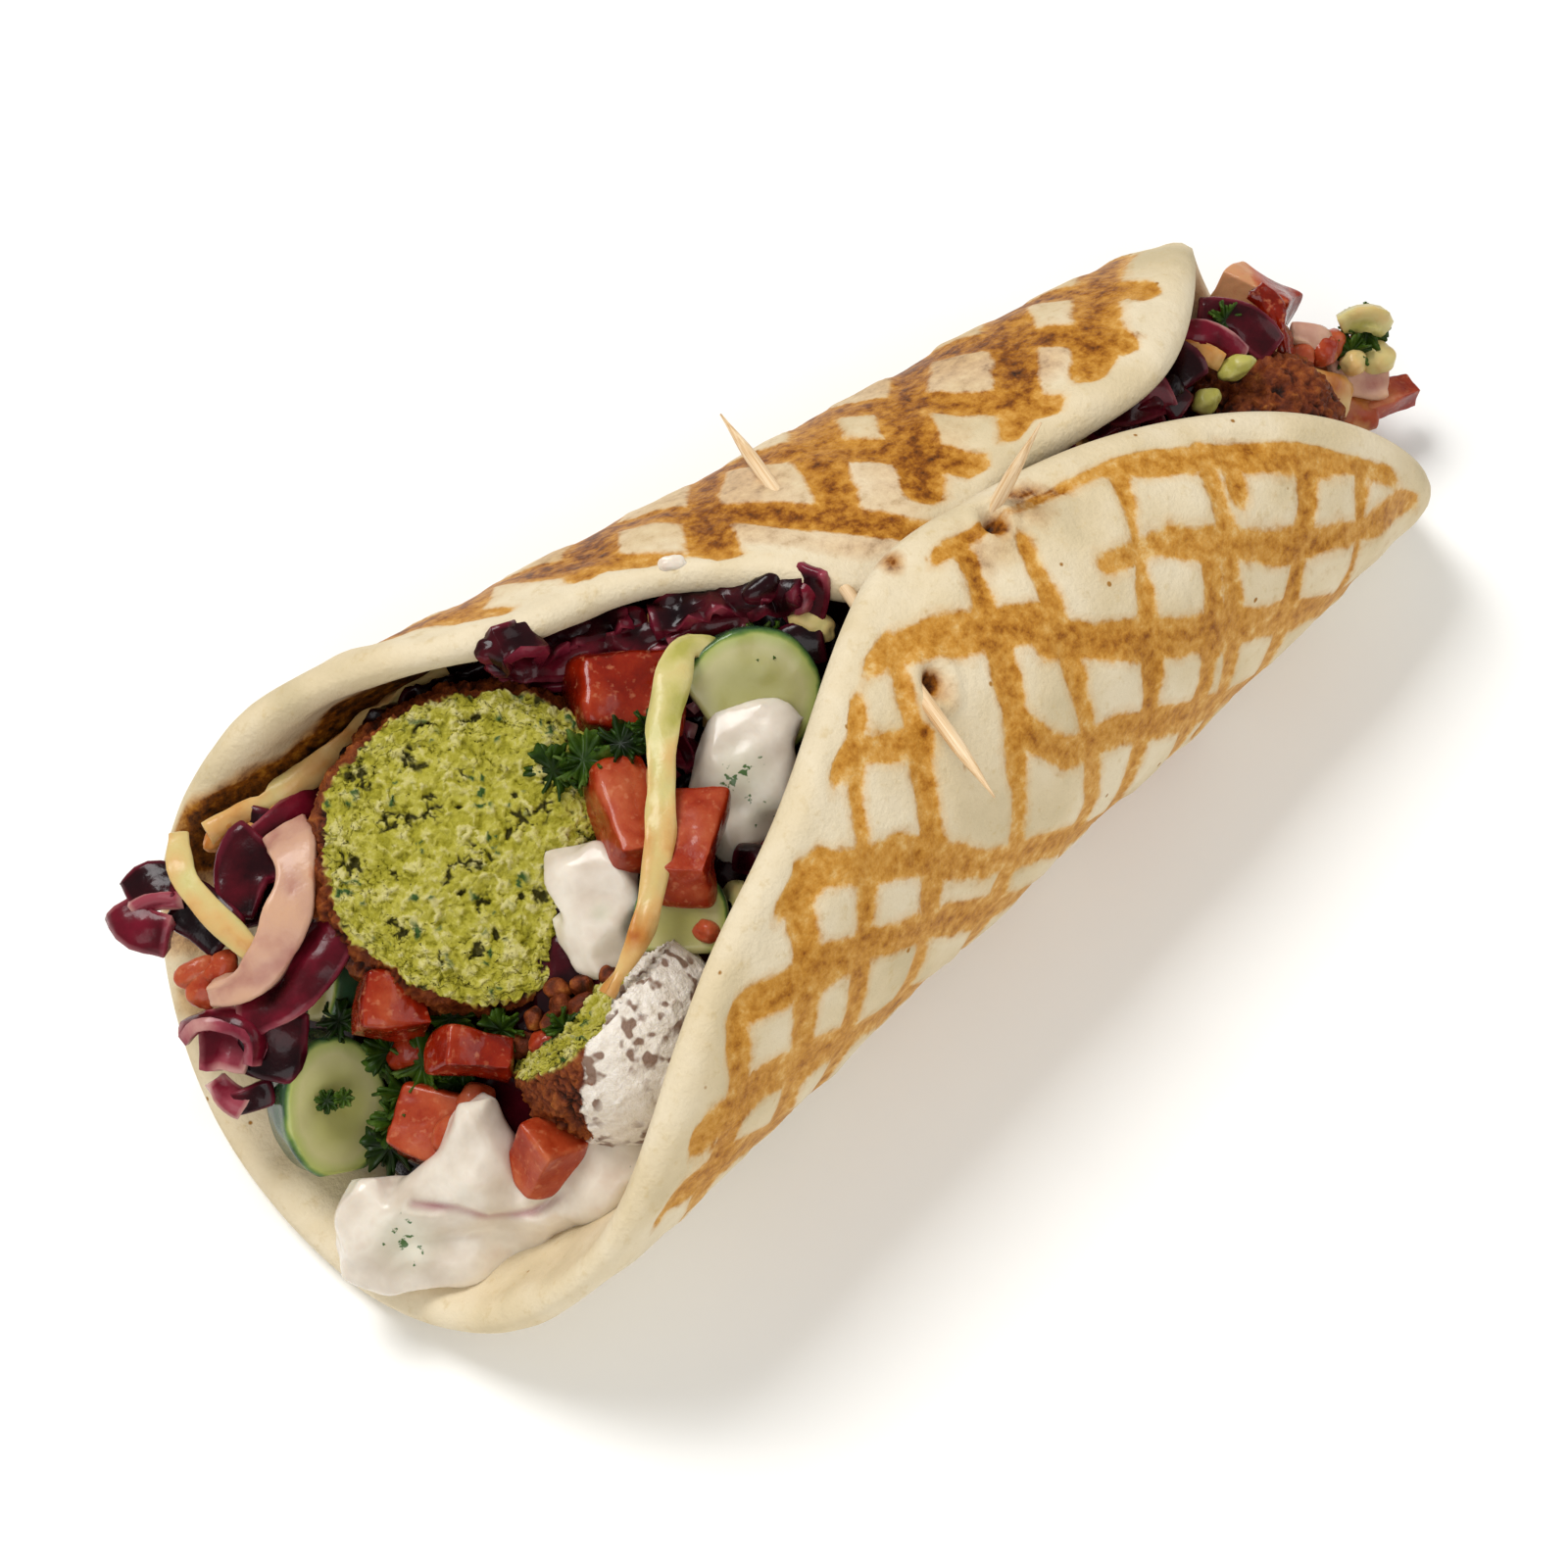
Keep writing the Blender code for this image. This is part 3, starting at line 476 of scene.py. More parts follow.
def paintBread(piece, places, normals, x, around, inward, outer):
    # depth into a bar, in millimetres; the bars run a little unevenly
    markX = x + 0.55 * bumps(places, 16, 5.0)
    markT = around + 0.55 * bumps(places, 16, 25.0)
    depth = np.full(len(x), -4.0)
    right = around > 0
    for lines, half, side in (
        (rightLong, bread["barHalf"], right),
        (rightCross, bread["crossHalf"], right),
        (leftLong, bread["leftBarHalf"], ~right),
        (leftCross, bread["leftBarHalf"], ~right),
    ):
        for line in lines:
            depth = np.where(side, np.maximum(depth, half - lineDistance(markX, markT, line)), depth)
    # the bars fade out toward the rim, which stood clear of the griddle, and where the bread stood off it
    depth -= 6 * (1 - smooth((inward - 1.8) / 4))
    depth += 1.3 * bumps(places, 13, 40.0) + 0.4 * bumps(places, 5, 45.0)
    depth = np.where(outer, np.clip(depth, -4, 4), -4)
    # browning between the bars: the left flap took more of it, and the inside only stains, apart from painted
    # shade under the left flap's rim
    brown = np.where(right, 0.04, 0.42) * outer * smooth((inward - 5) / 6)
    brown += 0.34 * outer * bumps(places, 17, 60.0) * smooth((inward - 4) / 6)
    for line in creases:
        brown += 0.5 * near(lineDistance(x, around, line), 1.3) * outer
    # scorched spots, and painted shade in the picks' holes
    for spotX, spotT, size, strength in scorchesAndHoleShade:
        brown += strength * near(np.hypot(x - spotX, around - spotT), size) * outer
    ragged = 2.5 * bumps(places, 7, 33.0)
    # inside: browned and stained patches, and on the left flap painted shade under its rim
    for spotX, spotT, size, strength in insideBrowningAndRimShade:
        fromSpot = np.hypot(x - spotX, around - spotT) + ragged
        brown += strength * smooth(1.6 * near(fromSpot, 1.5 * size)) * ~outer
    brown += ~outer * (0.20 * bumps(places, 9, 80.0)) * smooth((inward - 7) / 7)
    paint(piece, "bar", depth)
    paint(piece, "brown", np.clip(brown, 0, 1.2))
    # the surface: soft waves, blisters, sunk bars, creases, pits and the torn rims of the picks' holes
    height = bumps(places, 22, 51.0) * 0.5 + bumps(places, 8, 1.0) * 0.32 + bumps(places, 3.2, 2.0) * 0.12
    height += near(grains(places, 13, 3.0), 0.42) * bread["blister"]
    height -= smooth((depth + 0.6) / 1.6) * bread["sunkBars"]
    for line in creases:
        height -= 0.7 * near(lineDistance(x, around, line), 1.1) * outer
    for pitX, pitT in pits:
        height -= 0.45 * near(np.hypot(x - pitX, around - pitT), 1.4) * outer
    for holeX, holeT, size in pickHoles:
        fromHole = np.hypot(x - holeX, around - holeT)
        height += (0.7 * near(fromHole - size * 1.5, 1.5) - 3.0 * near(fromHole, size * 1.1)) * outer
    # the rim is wrinkled where it was pinched round the filling
    rimWave = near(inward - 7, 9) * bumps(np.stack([x, around, 0 * x], 1) * mm, 11, 15.0)
    height = height * smooth(inward / 4) + 0.9 * rimWave * smooth(inward / 2)
    movePoints(piece, places + normals * height[:, None] * mm)


falafels = {  # bite: how far the bitten face is from the ball's middle; look: where it faces in the outlook
    "falafel_bitten": {
        "radii": (24.6, 24.2, 24.0),
        "bite": 11.2,
        "look": (0.10, 0.14, 1),
        "shift": (1.2, -2.6, 0),
        "rounds": 7,
        "crag": 1.2,
    },
    "falafel_sauced": {
        "radii": (15.5, 15.0, 15.0),
        "bite": 6.0,
        "look": (-0.66, 0.72, 0.25),
        "shift": (-0.6, 0.6, 1.4),
        "rounds": 7,
        "crag": 0.9,
    },
    "falafel_far": {
        "radii": (12.5, 12.0, 12.0),
        "bite": None,
        "look": (0, 0, 1),
        "shift": (0, 0, 0),
        "rounds": 6,
        "crag": 0.9,
    },
}


def makeFalafelMaterial():
    # Chickpea and herb paste, cooked in deep oil: inside, damp yellow-green crumbs of 1 to 3 mm with flecks
    # of herb;
    # outside, a dry crust from golden brown to nearly black, and both darken in their hollows as painted
    # shade. Sauce coats part of one.
    material, tree, shader, place = newMaterial(
        "friedChickpeaPaste",
        IOR=1.45,
        Specular_IOR_Level=0.25,
        Subsurface_Weight=0.06,
        Subsurface_Radius=(0.6, 0.5, 0.15),
        Subsurface_Scale=0.0015,
    )
    crumb = node(tree, "Attribute", give="Fac", attribute_name="crumb")
    relief = node(tree, "Attribute", give="Fac", attribute_name="relief")
    chance = node(tree, "Attribute", give="Fac", attribute_name="chance")
    herb = node(tree, "Attribute", give="Fac", attribute_name="herb")
    coat = node(tree, "Attribute", give="Fac", attribute_name="coat")
    mottle = node(tree, "TexNoise", {"Vector": place, "Scale": every(1.79), "Detail": 5, "Roughness": 0.7})
    grit = node(tree, "TexNoise", {"Vector": place, "Scale": every(0.625), "Detail": 3, "Roughness": 0.7})
    mixed = node(tree, "Math", {0: mottle, 1: 0.9, 2: chance}, operation="MULTIPLY_ADD")
    gritty = node(tree, "Math", {0: grit, 1: 0.7, 2: mixed}, operation="MULTIPLY_ADD")
    toned = node(tree, "MapRange", {"Value": gritty, "From Min": 0.55, "From Max": 1.8})
    inside = node(
        tree,
        "ValToRGB",
        {"Fac": toned},
        stops=(
            (0.10, "#6C650A"), (0.30, "#918A1A"), (0.48, "#A59D2E"), (0.68, "#B5AD48"), (0.90, "#CBC27E")
        ),
    )
    flecked = node(tree, "Mix", {0: herb, 6: inside, 7: linear("#33501A")}, give=2, data_type="RGBA")
    # painted shade: the crumbs' gaps and holes darken with their depth
    hollow = node(tree, "MapRange", {"Value": relief, "From Min": 0.5, "From Max": 0.1})
    shadedPits = node(tree, "Mix", {0: hollow, 6: flecked, 7: linear("#3B3604")}, give=2, data_type="RGBA")
    # the crust darkens in its hollows as painted shade, over its own mottle from frying
    friedAndHollowShade = node(tree, "Math", {0: mottle, 1: relief}, operation="MULTIPLY")
    varied = node(tree, "Math", {0: chance, 1: 0.10, 2: friedAndHollowShade}, operation="MULTIPLY_ADD")
    crust = node(
        tree,
        "ValToRGB",
        {"Fac": varied},
        stops=(
            (0.04, "#1E0700"), (0.17, "#3E1500"), (0.32, "#66290C"), (0.48, "#8A4518"), (0.68, "#B0702E")
        ),
    )
    skin = node(tree, "Mix", {0: crumb, 6: crust, 7: shadedPits}, give=2, data_type="RGBA")
    thin = node(tree, "Math", {0: mottle, 1: 0.5, 2: coat}, operation="MULTIPLY_ADD")
    coated = node(tree, "MapRange", {"Value": thin, "From Min": 0.66, "From Max": 0.84})
    cream = node(tree, "ValToRGB", {"Fac": mottle}, stops=((0.3, "#DACDBC"), (0.6, "#F2EADF")))
    pores = node(tree, "TexNoise", {"Vector": place, "Scale": every(2.08), "Detail": 1})
    freckle = node(tree, "MapRange", {"Value": pores, "From Min": 0.53, "From Max": 0.61})
    patches = node(tree, "TexNoise", {"Vector": place, "Scale": every(7.69)})
    bare = node(tree, "MapRange", {"Value": patches, "From Min": 0.36, "From Max": 0.50, "To Max": 0.85})
    freckled = node(tree, "Math", {0: freckle, 1: bare}, operation="MULTIPLY")
    white = node(tree, "Mix", {0: freckled, 6: cream, 7: linear("#6E4428")}, give=2, data_type="RGBA")
    colour = node(tree, "Mix", {0: coated, 6: skin, 7: white}, give=2, data_type="RGBA")
    tree.links.new(colour, shader.inputs["Base Color"])
    gloss = node(tree, "MapRange", {"Value": coated, "To Min": 0.55, "To Max": 0.3})
    tree.links.new(gloss, shader.inputs["Roughness"])
    height = node(tree, "Math", {0: grit, 1: mottle}, operation="ADD")
    bump = node(tree, "Bump", {"Height": height, "Strength": 0.6, "Distance": 0.0005})
    tree.links.new(bump, shader.inputs["Normal"])
    return material


def crumbled(places, seed):  # height and depth of loose crumbs of three sizes, and how light each crumb is
    twisted = places + np.stack([bumps(places, 1.8, seed + 4 * axis) for axis in range(3)], 1) * 0.9 * mm
    gap, chance = crumbs(twisted, 2.5, seed)
    fineGap, fineChance = crumbs(twisted, 1.0, seed + 11)
    opened = smooth((bumps(places, 4.0, seed + 31) - 0.12) / 0.30)  # cracks open here and there
    crevice = near(gap, 0.20) * opened
    lumps = bumps(places, 1.9, seed + 21)
    height = 0.32 * chance + 0.36 * fineChance + 0.34 * lumps - 0.95 * crevice - 0.36 * near(fineGap, 0.26)
    depth = 0.74 - 0.72 * crevice - 0.34 * near(fineGap, 0.24) * (0.5 + opened) + 0.16 * lumps
    holes = smooth((bumps(places, 2.3, seed + 47) - 0.58) / 0.10)
    light = 0.5 + 0.14 * chance + 0.30 * fineChance + 0.22 * lumps
    return height - 1.2 * holes, np.clip(depth - 0.7 * holes, 0, 1), light, fineChance


def makeFalafel(name, material):
    size = falafels[name]
    bpy.ops.object.select_all(action="DESELECT")
    bpy.ops.mesh.primitive_ico_sphere_add(subdivisions=size["rounds"], radius=1)
    piece = named(name + "_fried")
    unit = readPoints(piece)
    radii = np.array(size["radii"])
    turn = np.array(turnTo(outlook @ np.array(size["look"])))
    if size["bite"]:  # most of the mesh goes to the bitten face
        share = (1 - unit[:, 2]) / 2
        capShare, capMesh = (1 - size["bite"] / radii[2]) / 2, 0.55
        moved = np.where(
            share < capMesh,
            share * capShare / capMesh,
            capShare + (share - capMesh) * (1 - capShare) / (1 - capMesh),
        )
        high = 1 - 2 * moved
        flat = np.hypot(unit[:, 0], unit[:, 1])
        unit[:, :2] *= (np.sqrt(np.maximum(1 - high**2, 0)) / np.maximum(flat, 1e-9))[:, None]
        unit[:, 2] = high
    low, high = (np.array(corner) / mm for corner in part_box(name))
    centre = (low + high) / 2 + outlook @ np.array(size["shift"])
    if name == "falafel_bitten":
        centre[2] += low[2] + radii[2] - (low[2] + high[2]) / 2
    local = unit * radii
    height, relief, chance, fineChance = crumbled(local * mm, 7.0 + len(name))
    # crags: on the ball of 1 metre that the piece starts as, so their sizes are thousandths of its radius
    crags = bumps(unit, 330, len(name)) * 0.8 + bumps(unit, 140, 3.0) * 0.45
    spread = unit @ turn.T @ outlook * radii[0]  # to the right, up and out
    coat = np.zeros(len(unit))
    if name == "falafel_sauced":  # sauce covers the right and lower side, and rough crust pokes through
        coat = smooth(0.5 + (spread[:, 0] + 4 + 2 * crags) / 4) - 0.45 * smooth((height - 0.25) / 0.4)
        coat -= 0.5 * near(np.hypot(spread[:, 0] - 3.5, spread[:, 1] - 3.5), 3.2)
    rough = 1 - np.clip(coat, 0, 1)
    push = crags * size["crag"] * (0.35 + 0.65 * rough) + np.maximum(height, -1.2) * (0.08 + 0.87 * rough)
    local += unit * push[:, None]
    crumb = np.zeros(len(unit))
    if size["bite"]:
        edge = size["bite"] + bumps(local * mm, 6, 12.0) * 0.9
        if name == "falafel_bitten":  # the right side is bitten deeper, under the sauce
            edge -= 4.0 * near(np.hypot(spread[:, 0] - 19, spread[:, 1] + 7), 9)
        above = local[:, 2] - edge
        crumb = smooth(above / 0.7 + 0.5)
        flatPlace = local.copy()
        flatPlace[:, 2] = 0
        height, cutRelief, cutChance, fineChance = crumbled(flatPlace * mm, 15.0)
        rise = 0.78 * height + 0.9 * bumps(flatPlace * mm, 9, 31.0) + 0.10 * above
        local[:, 2] = np.where(above > 0, edge + rise * smooth(above / 1.5), local[:, 2])
        relief = np.where(above > 0, cutRelief, relief)
        chance = np.where(above > 0, cutChance, chance)
    movePoints(piece, (centre + local @ turn.T) * mm)
    paint(piece, "crumb", crumb)
    # depth into the crumbs' gaps: the material darkens low places with it, as painted shade
    paint(piece, "relief", relief)
    paint(piece, "chance", chance)
    herbPatch = smooth((bumps(local * mm, 4, 61.0) - 0.05) / 0.2)
    paint(piece, "herb", smooth((fineChance - 0.72) / 0.06) * herbPatch)
    paint(piece, "coat", coat)
    settle(piece, [name], material)


tomatoes = {  # sizes before turning, and how dull, pale or orange each one's flesh is
    "tomato_1": {
        "size": (17.5, 14.5, 14.0), "turn": (14, 18, -36), "pale": -0.06, "shift": (-1.2, -1.4, 0)
    },
    "tomato_2": {"size": (9.5, 16.5, 11.0), "turn": (0, 8, -22), "pale": 0.28},
    "tomato_3": {"size": (8.0, 15.0, 8.5), "turn": (-8, 0, -52), "pale": 0.20},
    "tomato_4": {"size": (11.0, 9.5, 9.0), "turn": (15, 20, -30), "pale": 0.08},
    "tomato_5": {"size": (12.0, 7.5, 7.0), "turn": (0, 15, -45), "pale": 0.0},
    "tomato_6": {"size": (14.0, 11.5, 9.0), "turn": (20, 0, -60), "pale": 0.22},
    "tomato_7": {"size": (11.0, 8.5, 9.0), "turn": (0, 30, -10), "pale": 0.34},
    "tomato_8": {
        "size": (7.5, 13.5, 12.5), "turn": (0, 25, 15), "pale": 1.0, "redEnd": 0.9, "shift": (-0.8, 0, 0)
    },
    "tomato_9": {"size": (9.0, 9.0, 8.0), "turn": (10, 10, 40), "pale": 0.55},
    "tomato_10": {"size": (15.0, 5.5, 5.0), "turn": (0, 8, -18), "pale": 0.46, "redEnd": 0.25},
}


def makeTomatoMaterial():
    # Ripe tomato, knife cut: wet flesh, deep orange-red to salmon where it is dull, with pale fibres and
    # dots; faces that look up are painted paler, as painted light from above
    material, tree, shader, place = newMaterial(
        "cutTomato",
        IOR=1.36,
        Specular_IOR_Level=0.3,
        Subsurface_Weight=0.15,
        Subsurface_Radius=(1.0, 0.16, 0.06),
        Subsurface_Scale=0.0015,
        Coat_Weight=0.25,
        Coat_Roughness=0.08,
    )
    flesh = node(tree, "TexNoise", {"Vector": place, "Scale": every(5), "Detail": 5, "Roughness": 0.65})
    dots = node(tree, "TexNoise", {"Vector": place, "Scale": every(1.11), "Detail": 2})
    pale = node(tree, "Attribute", give="Fac", attribute_name="pale")
    stirred = node(tree, "Math", {0: flesh, 1: 0.8, 2: pale}, operation="MULTIPLY_ADD")
    scaled = node(tree, "Math", {0: stirred, 1: 0.75}, operation="MULTIPLY")
    tone = node(
        tree,
        "ValToRGB",
        {"Fac": scaled},
        stops=(
            (0.22, "#5E0D03"),
            (0.38, "#821A05"),
            (0.50, "#952A0E"),
            (0.62, "#A94423"),
            (0.78, "#B8603A"),
            (0.96, "#CC9166"),
        ),
    )
    speck = node(tree, "MapRange", {"Value": dots, "From Min": 0.58, "From Max": 0.72, "To Max": 0.45})
    dotted = node(tree, "Mix", {0: speck, 6: tone, 7: linear("#C87E58")}, give=2, data_type="RGBA")
    tree.links.new(dotted, shader.inputs["Base Color"])
    dull = node(
        tree, "MapRange", {"Value": pale, "From Min": 0.1, "From Max": 0.6, "To Min": 0.14, "To Max": 0.5}
    )
    tree.links.new(dull, shader.inputs["Roughness"])
    bump = node(tree, "Bump", {"Height": flesh, "Strength": 0.35, "Distance": 0.0006})
    tree.links.new(bump, shader.inputs["Normal"])
    return material


def makeTomato(name, material):
    size = tomatoes[name]
    draw = random.Random(name)
    bpy.ops.object.select_all(action="DESELECT")
    bpy.ops.mesh.primitive_cube_add(size=1)
    piece = named(name + "_chunk")
    corners = readPoints(piece)
    uneven = np.array([[draw.uniform(0.66, 1.12) for _ in range(3)] for _ in corners])
    movePoints(piece, corners * uneven * np.array(size["size"]) * mm)
    worked(piece, "BEVEL", width=min(size["size"]) * 0.13 * mm, segments=2, limit_method="NONE")
    worked(piece, "SUBSURF", levels=4, render_levels=4)
    places = readPoints(piece)
    seed = draw.uniform(0, 50)
    push = bumps(places, 8, seed) * 1.2 + bumps(places, 2.6, seed + 9) * 0.14
    push += bumps(places, 1.1, seed + 5) * 0.05
    places += readNormals(piece) * push[:, None] * mm
    turn = np.array(turned(size["turn"]))
    centre = middleOf(name) + outlook @ np.array(size.get("shift", (0, 0, 0))) * mm
    movePoints(piece, places @ turn.T + centre)
    upper = readNormals(piece) @ outlook[:, 2]
    # painted light: faces that look up are made paler, and rougher, as if lit from above
    paintedTopLight = 0.22 * smooth((upper - 0.55) / 0.35)
    across = (readPoints(piece) - middleOf(name)) @ outlook[:, 0] / (max(size["size"]) * mm / 2)
    redEnd = size.get("redEnd", 0) * smooth(0.5 + across)
    paint(piece, "pale", size["pale"] + paintedTopLight + 0.2 * bumps(places, 6, seed) - redEnd)
    settle(piece, [name], material)


# half sizes of each slice, the share kept below its cut, its turn, and its lean to the right and up
cucumbers = {
    "cucumber_1": {"radii": (9.5, 10.5), "thick": 6.0, "kept": 0.80, "turn": -62, "lean": (0.12, -0.15)},
    "cucumber_2": {"radii": (7.8, 10.4), "thick": 8.0, "kept": 0.95, "turn": -28, "lean": (0.55, -0.1)},
    "cucumber_3": {"radii": (5.0, 7.0), "thick": 7.0, "kept": 0.8, "turn": 70, "lean": (-1.7, 0.4)},
    "cucumber_4": {"radii": (6.5, 7.5), "thick": 5.0, "kept": 0.8, "turn": 0, "lean": (0, 0.1)},
}


def makeCucumberMaterial():
    # Cucumber, sliced: wet pale flesh, a see-through seed ring in the middle, and a dark thin skin
    material, tree, shader, place = newMaterial(
        "slicedCucumber",
        Roughness=0.24,
        IOR=1.36,
        Specular_IOR_Level=0.35,
        Subsurface_Weight=0.25,
        Subsurface_Radius=(0.7, 0.8, 0.3),
        Subsurface_Scale=0.003,
        Coat_Weight=0.3,
        Coat_Roughness=0.15,
    )
    radial = node(tree, "Attribute", give="Fac", attribute_name="radial")
    mottle = node(tree, "TexNoise", {"Vector": place, "Scale": every(3.33), "Detail": 3})
    centred = node(tree, "Math", {0: mottle, 1: 0.5}, operation="SUBTRACT")
    shifted = node(tree, "Math", {0: centred, 1: 0.14, 2: radial}, operation="MULTIPLY_ADD")
    tone = node(
        tree,
        "ValToRGB",
        {"Fac": shifted},
        stops=(
            (0.0, "#A09C54"),
            (0.4, "#ABA765"),
            (0.72, "#BDB780"),
            (0.90, "#A9B062"),
            (0.95, "#5F7C38"),
            (0.99, "#2E4A30"),
        ),
    )
    tree.links.new(tone, shader.inputs["Base Color"])
    bump = node(tree, "Bump", {"Height": mottle, "Strength": 0.2, "Distance": 0.0005})
    tree.links.new(bump, shader.inputs["Normal"])
    return material


def makeCucumber(name, material):
    size = cucumbers[name]
    bpy.ops.object.select_all(action="DESELECT")
    bpy.ops.mesh.primitive_cylinder_add(vertices=48, radius=1, depth=1, end_fill_type="NGON")
    piece = named(name + "_slice")
    pickOut(piece)
    bpy.ops.object.mode_set(mode="EDIT")
    bpy.ops.mesh.select_all(action="SELECT")
    bpy.ops.mesh.bisect(
        plane_co=(0, 1 - 2 * size["kept"], 0), plane_no=(0, -1, 0), clear_outer=True, use_fill=True
    )
    bpy.ops.object.mode_set(mode="OBJECT")
    scale = np.array([size["radii"][0], size["radii"][1], size["thick"]]) * mm
    movePoints(piece, readPoints(piece) * scale)
    worked(piece, "BEVEL", width=0.7 * mm, segments=2, limit_method="ANGLE", angle_limit=0.7)
    worked(piece, "REMESH", mode="VOXEL", voxel_size=0.4 * mm, use_smooth_shade=True)
    worked(piece, "SMOOTH", iterations=3, factor=0.5)
    places = readPoints(piece)
    radial = np.hypot(places[:, 0] / scale[0], places[:, 1] / scale[1])
    dip = near(radial, 0.55) * 0.15 * np.sign(places[:, 2]) * (np.abs(places[:, 2]) > scale[2] * 0.3)
    places[:, 2] -= dip * mm
    places += readNormals(piece) * (bumps(places, 4, 2.0) * 0.25)[:, None] * mm
    lean = turnTo(outlook @ np.array([*size["lean"], 1]))
    place = lean @ Matrix.Rotation(math.radians(size["turn"]), 3, "Z")
    movePoints(piece, places @ np.array(place).T + middleOf(name))
    paint(piece, "radial", radial)
    settle(piece, [name], material)


# lumps that run together: right, up and out from the sauce's middle, and half sizes the same way
sauces = {
    "sauce_side": (
        ((-3.2, 4.8, -3.2), (5.4, 4.8, 3.4)),
        ((2.4, 5.4, -2.0), (5.0, 4.8, 3.4)),
        ((-1.8, 0.2, -3.0), (5.8, 5.8, 3.4)),
        ((2.8, -1.2, -2.0), (4.4, 5.8, 3.4)),
        ((0.4, -5.2, -2.6), (4.6, 5.6, 3.2)),
        ((2.0, -9.4, -2.8), (3.0, 4.6, 2.8)),
        ((-6.2, 4.4, -4.4), (3.0, 2.8, 2.4)),
    ),
    "sauce_middle": (
        ((4.4, 7.4, -0.6), (5.6, 5.0, 3.2)),
        ((-2.6, 5.6, -0.6), (4.6, 4.8, 3.0)),
        ((0.2, 1.4, -0.4), (6.4, 5.4, 3.6)),
        ((-2.8, -4.6, -0.6), (5.0, 5.4, 3.4)),
        ((4.6, -2.0, -1.0), (4.8, 5.8, 3.4)),
        ((0.2, -8.8, -1.8), (3.8, 4.6, 2.8)),
    ),
    "sauce_front": (
        ((-13.0, -2.0, -0.6), (5.2, 5.4, 5.0)),
        ((-13.2, -7.6, -1.6), (5.8, 6.0, 5.0)),
        ((-8.0, -9.6, -2.2), (6.2, 5.4, 4.6)),
        ((-1.6, -8.6, -2.8), (6.6, 5.0, 4.0)),
        ((5.0, -5.8, -3.0), (7.0, 4.4, 3.8)),
        ((-6.0, -2.0, 0.4), (6.0, 4.6, 5.0)),
        ((1.0, 0.6, 2.0), (5.6, 5.0, 5.0)),
        ((2.0, 6.0, 4.0), (4.8, 5.6, 5.0)),
        ((1.4, 10.6, 4.4), (3.6, 5.4, 4.6)),
        ((7.0, 0.4, 1.4), (5.4, 4.4, 4.4)),
        ((11.6, 3.0, 0.4), (5.0, 4.6, 4.0)),
        ((16.4, 7.0, 2.2), (4.4, 5.4, 3.2)),
        ((18.4, 12.2, 4.0), (4.0, 4.6, 3.0)),
        ((12.6, -1.4, 1.6), (5.4, 4.4, 3.4)),
        ((17.8, 1.8, 4.2), (5.2, 5.4, 3.4)),
        ((21.6, 4.8, 5.2), (4.2, 4.8, 3.2)),
        ((21.8, 8.4, 4.0), (3.8, 5.2, 3.0)),
        ((22.6, 13.8, 4.0), (3.0, 4.8, 2.6)),
        ((-5.0, 2.4, 2.0), (3.0, 3.0, 3.4)),
    ),
}
sauceFolds = {  # a thin purple stain left by the cabbage runs along these lines, from the sauce's middle
    "sauce_front": (
        (-6.8, -1.0, 5.0), (-1.0, -1.6, 6.0), (3.4, -3.2, 6.0), (9.4, -2.0, 5.0), (14.0, 1.0, 3.0)
    ),
}
herbPatches = {  # where chopped herb shows in the sauce: right and up from its middle, half width
    "sauce_front": ((-8.0, -6.0, 4.2), (11.0, 1.0, 2.4)),
    "sauce_middle": ((0.5, 1.0, 4.5), (4.0, -4.0, 3.0)),
    "sauce_side": ((1.0, -0.4, 1.4),),
}


def makeSauceMaterial():
    # Yoghurt and tahini sauce: thick, warm white, softly glossy, with herb flecks and cabbage stains
    material, tree, shader, place = newMaterial(
        "yoghurtSauce",
        IOR=1.4,
        Roughness=0.26,
        Specular_IOR_Level=0.4,
        Subsurface_Weight=0.3,
        Subsurface_Radius=(1.0, 0.75, 0.55),
        Subsurface_Scale=0.0015,
        Coat_Weight=0.25,
        Coat_Roughness=0.15,
    )
    stain = node(tree, "Attribute", give="Fac", attribute_name="stain")
    herby = node(tree, "Attribute", give="Fac", attribute_name="herby")
    soft = node(tree, "TexNoise", {"Vector": place, "Scale": every(6.67), "Detail": 4})
    fine = node(tree, "TexNoise", {"Vector": place, "Scale": every(1.43), "Detail": 4})
    tone = node(
        tree,
        "ValToRGB",
        {"Fac": soft},
        stops=((0.30, "#CDBEAC"), (0.48, "#DCD0C0"), (0.60, "#E6DCCD"), (0.75, "#DBCAB8")),
    )
    pinked = node(tree, "Mix", {0: stain, 6: tone, 7: linear("#9A5560")}, give=2, data_type="RGBA")
    greened = node(tree, "Math", {0: herby, 1: 0.35}, operation="MULTIPLY")
    tinted = node(tree, "Mix", {0: greened, 6: pinked, 7: linear("#B9C0A0")}, give=2, data_type="RGBA")
    flecks = node(tree, "Math", {0: herby, 1: 0.22, 2: fine}, operation="MULTIPLY_ADD")
    fleck = node(tree, "MapRange", {"Value": flecks, "From Min": 0.78, "From Max": 0.82})
    green = node(tree, "Mix", {0: fleck, 6: tinted, 7: linear("#4C6A3A")}, give=2, data_type="RGBA")
    tree.links.new(green, shader.inputs["Base Color"])
    bump = node(tree, "Bump", {"Height": soft, "Strength": 0.3, "Distance": 0.0008})
    tree.links.new(bump, shader.inputs["Normal"])
    return material


def spaceDistance(places, line):  # from each place to the nearest point on a line in space
    best = np.full(len(places), 1e9)
    for start, end in zip(line, line[1:]):
        run = end - start
        share = np.clip((places - start) @ run / (run @ run), 0, 1)
        best = np.minimum(best, np.linalg.norm(places - start - share[:, None] * run, axis=1))
    return best


